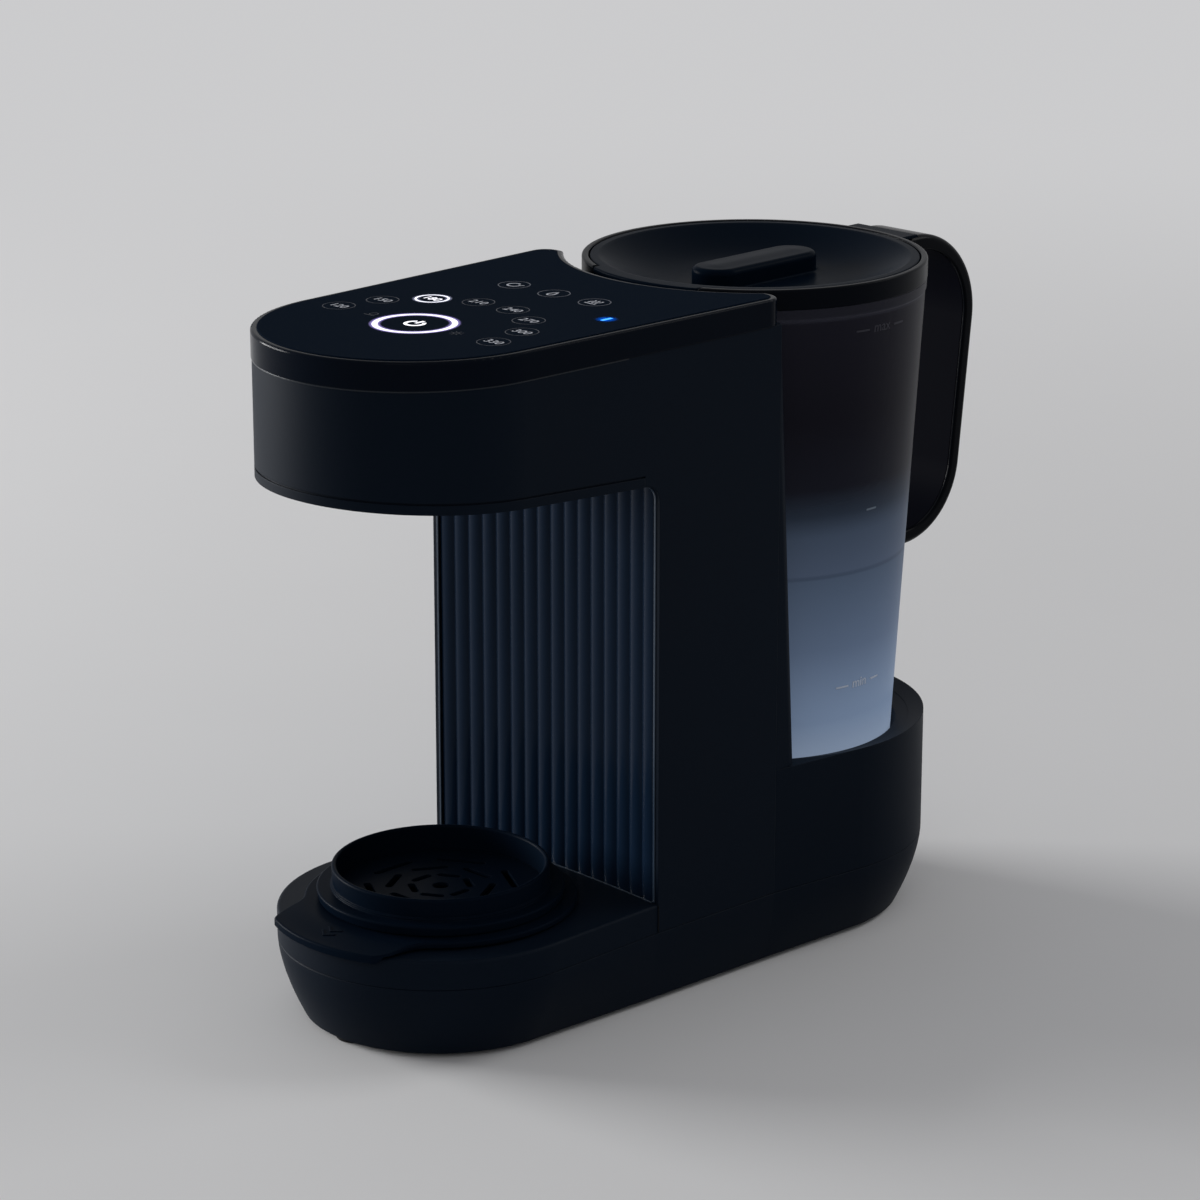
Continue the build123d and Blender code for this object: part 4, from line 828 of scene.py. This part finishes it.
def makeLid():
    # dish: a section at every angle, whose height grows from the flat floor with share^2 (1.62 - 0.62 share);
    # its lip reaches to a circle, or to the notch's straight sides and front
    c = lid
    share = np.linspace(1, 0, 28)
    dishR = c["dishRadius"] + (c["lipInner"] - c["dishRadius"]) * share
    dishZ = c["dish"] + (c["top"] - c["dish"]) * share ** 2 * (1.62 - 0.62 * share)
    floor = np.stack([np.linspace(c["dishRadius"], 0, 10)[1:], np.full(9, c["dish"])], axis=1)
    (flatEnd, bendEnd), inSkirt, roof = c["underDish"], c["skirt"] - c["skirtWall"], c["skirtLow"] + 1.2
    under = rounded([
        (0, c["dish"] - c["thick"]), (flatEnd, c["dish"] - c["thick"]), (bendEnd, c["dish"] - 0.6),
        (inSkirt, roof), (inSkirt, c["skirtLow"]), (c["skirt"], c["skirtLow"]), (c["skirt"], c["under"]),
        (c["underLip"], c["under"])], [0, 4, 4, 0.2, 0.3, 0.3, 0.3, 0], closed=False)[:-1]
    angle = fineFront(32, 257, 149)
    side = c["frontHalf"] / np.maximum(np.abs(np.sin(angle)), 0.05)
    front = np.where(np.cos(angle) > 0, softLower(c["frontRadius"], side, 1.0), 0)
    reach = softUpper(c["radius"], front, 0.8)
    edge, turn = c["edge"], np.linspace(0, math.pi / 2, 7)[None, :]
    bend = (reach - edge * (1 - np.cos(turn)), c["top"] - edge * (1 - np.sin(turn)))
    lip = [(c["underLip"], c["under"]), (reach, c["under"] + 0.2), bend, (c["lipInner"] + 0.5, c["top"])]
    inner = np.concatenate([np.stack([dishR, dishZ], axis=1), floor])
    r, z = joined(reach, under.T[:, None], *lip, inner.T[:, None])
    dish = np.stack([r * np.sin(angle), jugPlace[1] - r * np.cos(angle), z], axis=-1)

    # grip: a stadium drawn in by the section's depth, from a flared foot up a wall and over a rounded edge
    half, bottom = c["gripWide"] / 2, c["dish"] - c["gripDeep"]
    foot, edge = np.linspace(0, math.pi / 2, 6), np.linspace(0, math.pi / 2, 9)
    depth = np.concatenate([[-c["gripFoot"]], -c["gripFoot"] * (1 - np.sin(foot)),
                            c["gripRound"] * (1 - np.cos(edge)), np.linspace(c["gripRound"], half, 7)[1:]])
    height = np.concatenate([[bottom], c["dish"] + c["gripFoot"] * (1 - np.cos(foot)),
                             c["gripTop"] - c["gripRound"] * (1 - np.sin(edge)), np.full(6, c["gripTop"])])
    height += c["gripCrown"] * smoothStep((depth - c["gripRound"]) / (half - c["gripRound"]))
    depth = np.concatenate([[half], depth])
    height = np.concatenate([[bottom], height])
    around = np.linspace(0, 2 * math.pi, 120, endpoint=False)[:, None]
    middleY = jugPlace[1] + np.sign(np.sin(around)) * (c["gripLong"] / 2 - half)
    x, y = (half - depth) * np.cos(around), middleY + (half - depth) * np.sin(around)
    grip = np.stack([x, y, height + 0 * around], axis=-1)
    both = surface("jugLid", (dish, True, False), (grip, True, False))
    dressed(both, "lid", "jug_lid", lidSatin, "jug_lid")


# jug handle: a flat loop with well rounded outer edges and a grey face let into its inside
handle = {
    "out": 167.0, "topR": 33.0, "lowR": 31.5, "top": 246.3, "low": 126.0, "lowY": 129.3, "thick": 5.7,
    "half": 14.0, "outerRound": 2.7, "innerRound": 0.8, "startTop": 117.8, "startLow": 110.9, "rootRun": 14.0,
    "rootSpread": 0.25, "recess": 0.9, "inlayHalf": 12.4, "inlayGap": 0.15, "inlaySink": 0.25,
}


def unitArc(start, end, count=70):
    angle = np.linspace(start, end, count)
    return np.stack([np.cos(angle), np.sin(angle)], axis=1)


def handlePath():
    # outer line of the loop from the top root round to the low one: straight, arc, straight, arc, straight;
    # the slanted run touches both arcs, so its direction follows from their centres and radii
    h = handle
    topC = np.array([h["out"] - h["topR"], h["top"] - h["topR"]])
    lowC = np.array([h["lowY"], h["low"] + h["lowR"]])
    gap = topC - lowC
    lean = math.atan2(gap[1], gap[0]) - math.acos((h["lowR"] - h["topR"]) / np.hypot(*gap))
    upper = topC + h["topR"] * unitArc(math.pi / 2, lean)
    lower = lowC + h["lowR"] * unitArc(lean, -math.pi / 2)
    firstRun = np.stack([np.linspace(h["startTop"], topC[0], 12)[:-1], np.full(11, h["top"])], axis=1)
    lastRun = np.stack([np.linspace(lowC[0], h["startLow"], 12)[1:], np.full(11, h["low"])], axis=1)
    slant = upper[-1] + (lower[0] - upper[-1]) * np.linspace(0, 1, 20)[1:-1, None]
    return np.concatenate([firstRun, upper, slant, lower, lastRun])


def sweptLoop(section):
    # the section (across, inwards) carried along the handle's line: inwards is square to the line, to its
    # right; towards both roots it grows thicker by the spread and wider by half of it
    path = handlePath()
    along = unit(np.gradient(path, axis=0))
    inward = np.stack([along[:, 1], -along[:, 0]], axis=1)
    across, depth = section[None, :, 0], section[None, :, 1]
    run = np.concatenate([[0], np.cumsum(np.linalg.norm(np.diff(path, axis=0), axis=1))])
    nearRoot = smoothStep(1 - run / handle["rootRun"]) + smoothStep(1 - (run[-1] - run) / handle["rootRun"])
    grow = (1 + handle["rootSpread"] * nearRoot)[:, None]
    y = path[:, :1] + inward[:, :1] * depth * grow
    z = path[:, 1:] + inward[:, 1:] * depth * grow
    return ended(np.stack([across * (1 + (grow - 1) * 0.5), y, z], axis=-1))


def makeHandle():
    # frame: a flat bar with a channel in its inner face; inlay: the grey face in that channel
    h = handle
    bed, face, side = h["thick"] - h["recess"], h["thick"] - h["inlaySink"], h["inlayHalf"] - h["inlayGap"]
    half, thick, channel = h["half"], h["thick"], h["inlayHalf"]
    bar = rounded([
        (-half, 0), (half, 0), (half, thick), (channel, thick), (channel, bed), (-channel, bed),
        (-channel, thick), (-half, thick)],
        [h["outerRound"], h["outerRound"], h["innerRound"], 0.25, 0.2, 0.2, 0.25, h["innerRound"]])
    inlay = rounded([(-side, bed), (side, bed), (side, face), (-side, face)], [0.1, 0.1, 0.35, 0.35])
    for name, section, node, material in (
        ("jugHandle", bar, "jug_handle", handleGloss), ("handleGrip", inlay, "handle_grip", gripGrey),
    ):
        dressed(surface(name, (sweptLoop(section), False, True)), "jug", node, material, node)


# edges round the reeds: a fine bead, coloured light to paint a highlight, up the column's inner edge and
# round its top corner, one along the panel's foot, and a dark seam from the deck's corner down to the parting
# line
border = {
    "side": 54.85, "wide": 0.75, "thick": 0.5, "edgeBack": -51.5, "foot": 39.5, "corner": 6.0,
    "soffit": 193.0, "footHalf": 54.6, "footLine": 0.6, "footSink": 0.05, "footRise": 0.35, "bowDepth": 2.6,
    "bowHalf": 54.8, "seamSide": 57.3, "seamWide": 0.32, "seamReach": 0.53, "seamMiddle": 34.0,
    "parting": 29.2,
}


def onBothSides(path, thick, near, far):
    # bars along a path of (y, z) points, right and left, between two distances from the middle
    bar, *loops = stroke(path, thick, near, far)
    return [(np.stack([side * bar[..., 2], bar[..., 0], bar[..., 1]], axis=-1), *loops) for side in (1, -1)]


def makeBorder():
    # the foot's line bows back from the middle with the square of the distance across
    b = border
    upTo = b["soffit"] - b["corner"]
    bend = arcPath((b["edgeBack"] - b["corner"], upTo), b["corner"], 0, 75, 12)
    rise = np.stack([np.full(30, b["edgeBack"]), np.linspace(b["foot"] + 0.3, upTo, 30)], axis=1)[:-1]
    uprights = onBothSides(np.concatenate([rise, bend]), b["thick"], b["side"], b["side"] + b["wide"])
    x = np.linspace(-b["footHalf"], b["footHalf"], 60)
    foot = np.stack([x, panelFront - b["bowDepth"] * (x / b["bowHalf"]) ** 2], axis=1)
    footBead = stroke(foot, b["footLine"], b["foot"] - b["footSink"], b["foot"] + b["footRise"])
    # the bead's light colour paints a highlight along the reeds' edges
    dressed(surface("panelHighlightBead", *uprights, footBead), "housing", "main_housing", edgeHighlightPaint)
    line = [(b["edgeBack"] - 0.1, z) for z in (b["parting"], b["seamMiddle"], b["foot"] - 0.4)]
    seams = onBothSides(line, b["seamWide"], b["seamSide"], b["seamSide"] + b["seamReach"])
    dressed(surface("sideSeams", *seams), "housing", "main_housing", seamDark)


# bead on the casing's top edge, under the gloss bezel, lighter than the casing to paint a thin highlight
# line: round the head's front and back along its flared sides
shoulder = {"radius": 55.2, "out": 0.12, "thick": 0.55, "top": 239.95, "back": -60.0, "flare": 2.08}


def makeShoulder():
    # the sides leave the arc where they touch it, turned by the flare
    b = shoulder
    turn = math.radians(b["flare"])
    radius = b["radius"] + b["out"] - b["thick"] / 2
    front = arcPath(headPlace, radius, 180 + b["flare"], 360 - b["flare"], 120)
    side = radius * math.cos(turn) + (b["back"] - headPlace[1]) * math.tan(turn)
    path = np.concatenate([[(-side, b["back"])], front, [(side, b["back"])]])
    bead = stroke(path, b["thick"], b["top"] - b["thick"], b["top"])
    # its lighter colour paints the highlight line; its gloss adds a real one where the lamp catches it
    dressed(surface("shoulderBead", bead), "housing", "main_housing", shoulderPaintedSheen)


makeKeys()
makeBorder()
makeShoulder()
makeStand()
makeTray()
makeJug()
makeLid()
makeHandle()
print("pieces made")


# stage, in metres: the world's light, the pale tone it shows, the span over which the floor takes that tone
stage = {
    "ambient": (0.3, 0.3, 0.31), "seen": (0.6, 0.6, 0.61), "near": 0.45, "far": 1.7, "floorHalf": 30.0,
    "floorColour": (0.8, 0.8, 0.8),
}
# each lamp: its place, what it looks at, its size and its power
lamps = {
    "keyLamp": ((-2.6, -1.15, 0.52), (0, -0.05, 0.13), (1.5, 0.98), 108.0),
    "fillLamp": ((2.0, -2.4, 2.0), (0, 0, 0.12), (1.8, 1.2), 6.0),
    "rimLamp": ((1.2, 2.4, 2.1), (0, 0, 0.15), (1.4, 1.0), 16.0),
}
# camera: a long lens from the front right, a little above the machine
shot = {
    "place": (0.98162, -1.00403, 0.55387), "turn": 45.022, "down": 16.851, "lens": 120.6, "sensor": 36.0,
    "reach": 60.0,
}


def seenShare(made):
    # 1 for rays that show what they meet, directly, mirrored or through glass; 0 for those that only light it
    path = added(made, "LightPath").outputs
    seen = combined(made, "MAXIMUM", path["Is Camera Ray"], path["Is Glossy Ray"])
    return combined(made, "MAXIMUM", seen, path["Is Transmission Ray"])


def farPart(material):
    # seen directly or mirrored, the floor passes with distance from its lit surface to the world's level
    made = material.node_tree.nodes
    shader = made["Principled BSDF"].inputs
    away = added(made, "VectorMath", operation="LENGTH")
    fed(away.inputs[0], added(made, "TexCoord").outputs["Object"])
    rise = remapped(made, away.outputs["Value"], (stage["near"], stage["far"]), ease="SMOOTHSTEP")
    fed(shader["Emission Strength"], combined(made, "MULTIPLY", rise, seenShare(made)))
    shader["Emission Color"].default_value = (*stage["seen"], 1.0)
    lit = shader["Base Color"].links[0].from_socket
    fed(shader["Base Color"], mixColour(made, lit, (0.0, 0.0, 0.0), rise))


def makeStage():
    # pale floor, and a world that is pale where it is seen and softer where it lights
    mesh = bpy.data.meshes.new("studioFloor")
    corners = np.array([(-1, -1, 0), (1, -1, 0), (1, 1, 0), (-1, 1, 0)]) * stage["floorHalf"]
    mesh.from_pydata(corners.tolist(), [], [(0, 1, 2, 3)])
    floor = bpy.data.objects.new("studioFloor", mesh)
    scene.collection.objects.link(floor)
    pale = finish("floorPale", stage["floorColour"], tone=0.02, rough=0.95, grain=0.0, specular=0.0,
                  dust=0.0, wear=0.0)
    mesh.materials.append(pale)
    farPart(pale)

    world = bpy.data.worlds.new("studioWorld")
    scene.world = world
    world.use_nodes = True
    made = world.node_tree.nodes
    colour = mixColour(made, stage["ambient"], stage["seen"], seenShare(made))
    fed(made["Background"].inputs["Color"], colour)


def areaLamp(name, place, target, size, power):
    # a soft box at place that looks at target
    lamp = bpy.data.lights.new(name, "AREA")
    lamp.shape = "RECTANGLE"
    lamp.size, lamp.size_y = size
    lamp.energy = power
    obj = bpy.data.objects.new(name, lamp)
    scene.collection.objects.link(obj)
    obj.location = place
    x, y, z = np.array(target) - np.array(place)
    obj.rotation_euler = (math.atan2(math.hypot(x, y), -z), 0, math.atan2(y, x) - math.pi / 2)


def makeCamera():
    data = bpy.data.cameras.new("camera")
    data.lens, data.sensor_width, data.clip_end = shot["lens"], shot["sensor"], shot["reach"]
    obj = bpy.data.objects.new("camera", data)
    scene.collection.objects.link(obj)
    obj.location = shot["place"]
    obj.rotation_euler = (math.radians(90 - shot["down"]), 0, math.radians(shot["turn"]))
    scene.camera = obj


makeStage()
for name, settings in lamps.items():
    areaLamp(name, *settings)
makeCamera()
scene.view_settings.view_transform = "Standard"
print("stage, lamps and camera ready")
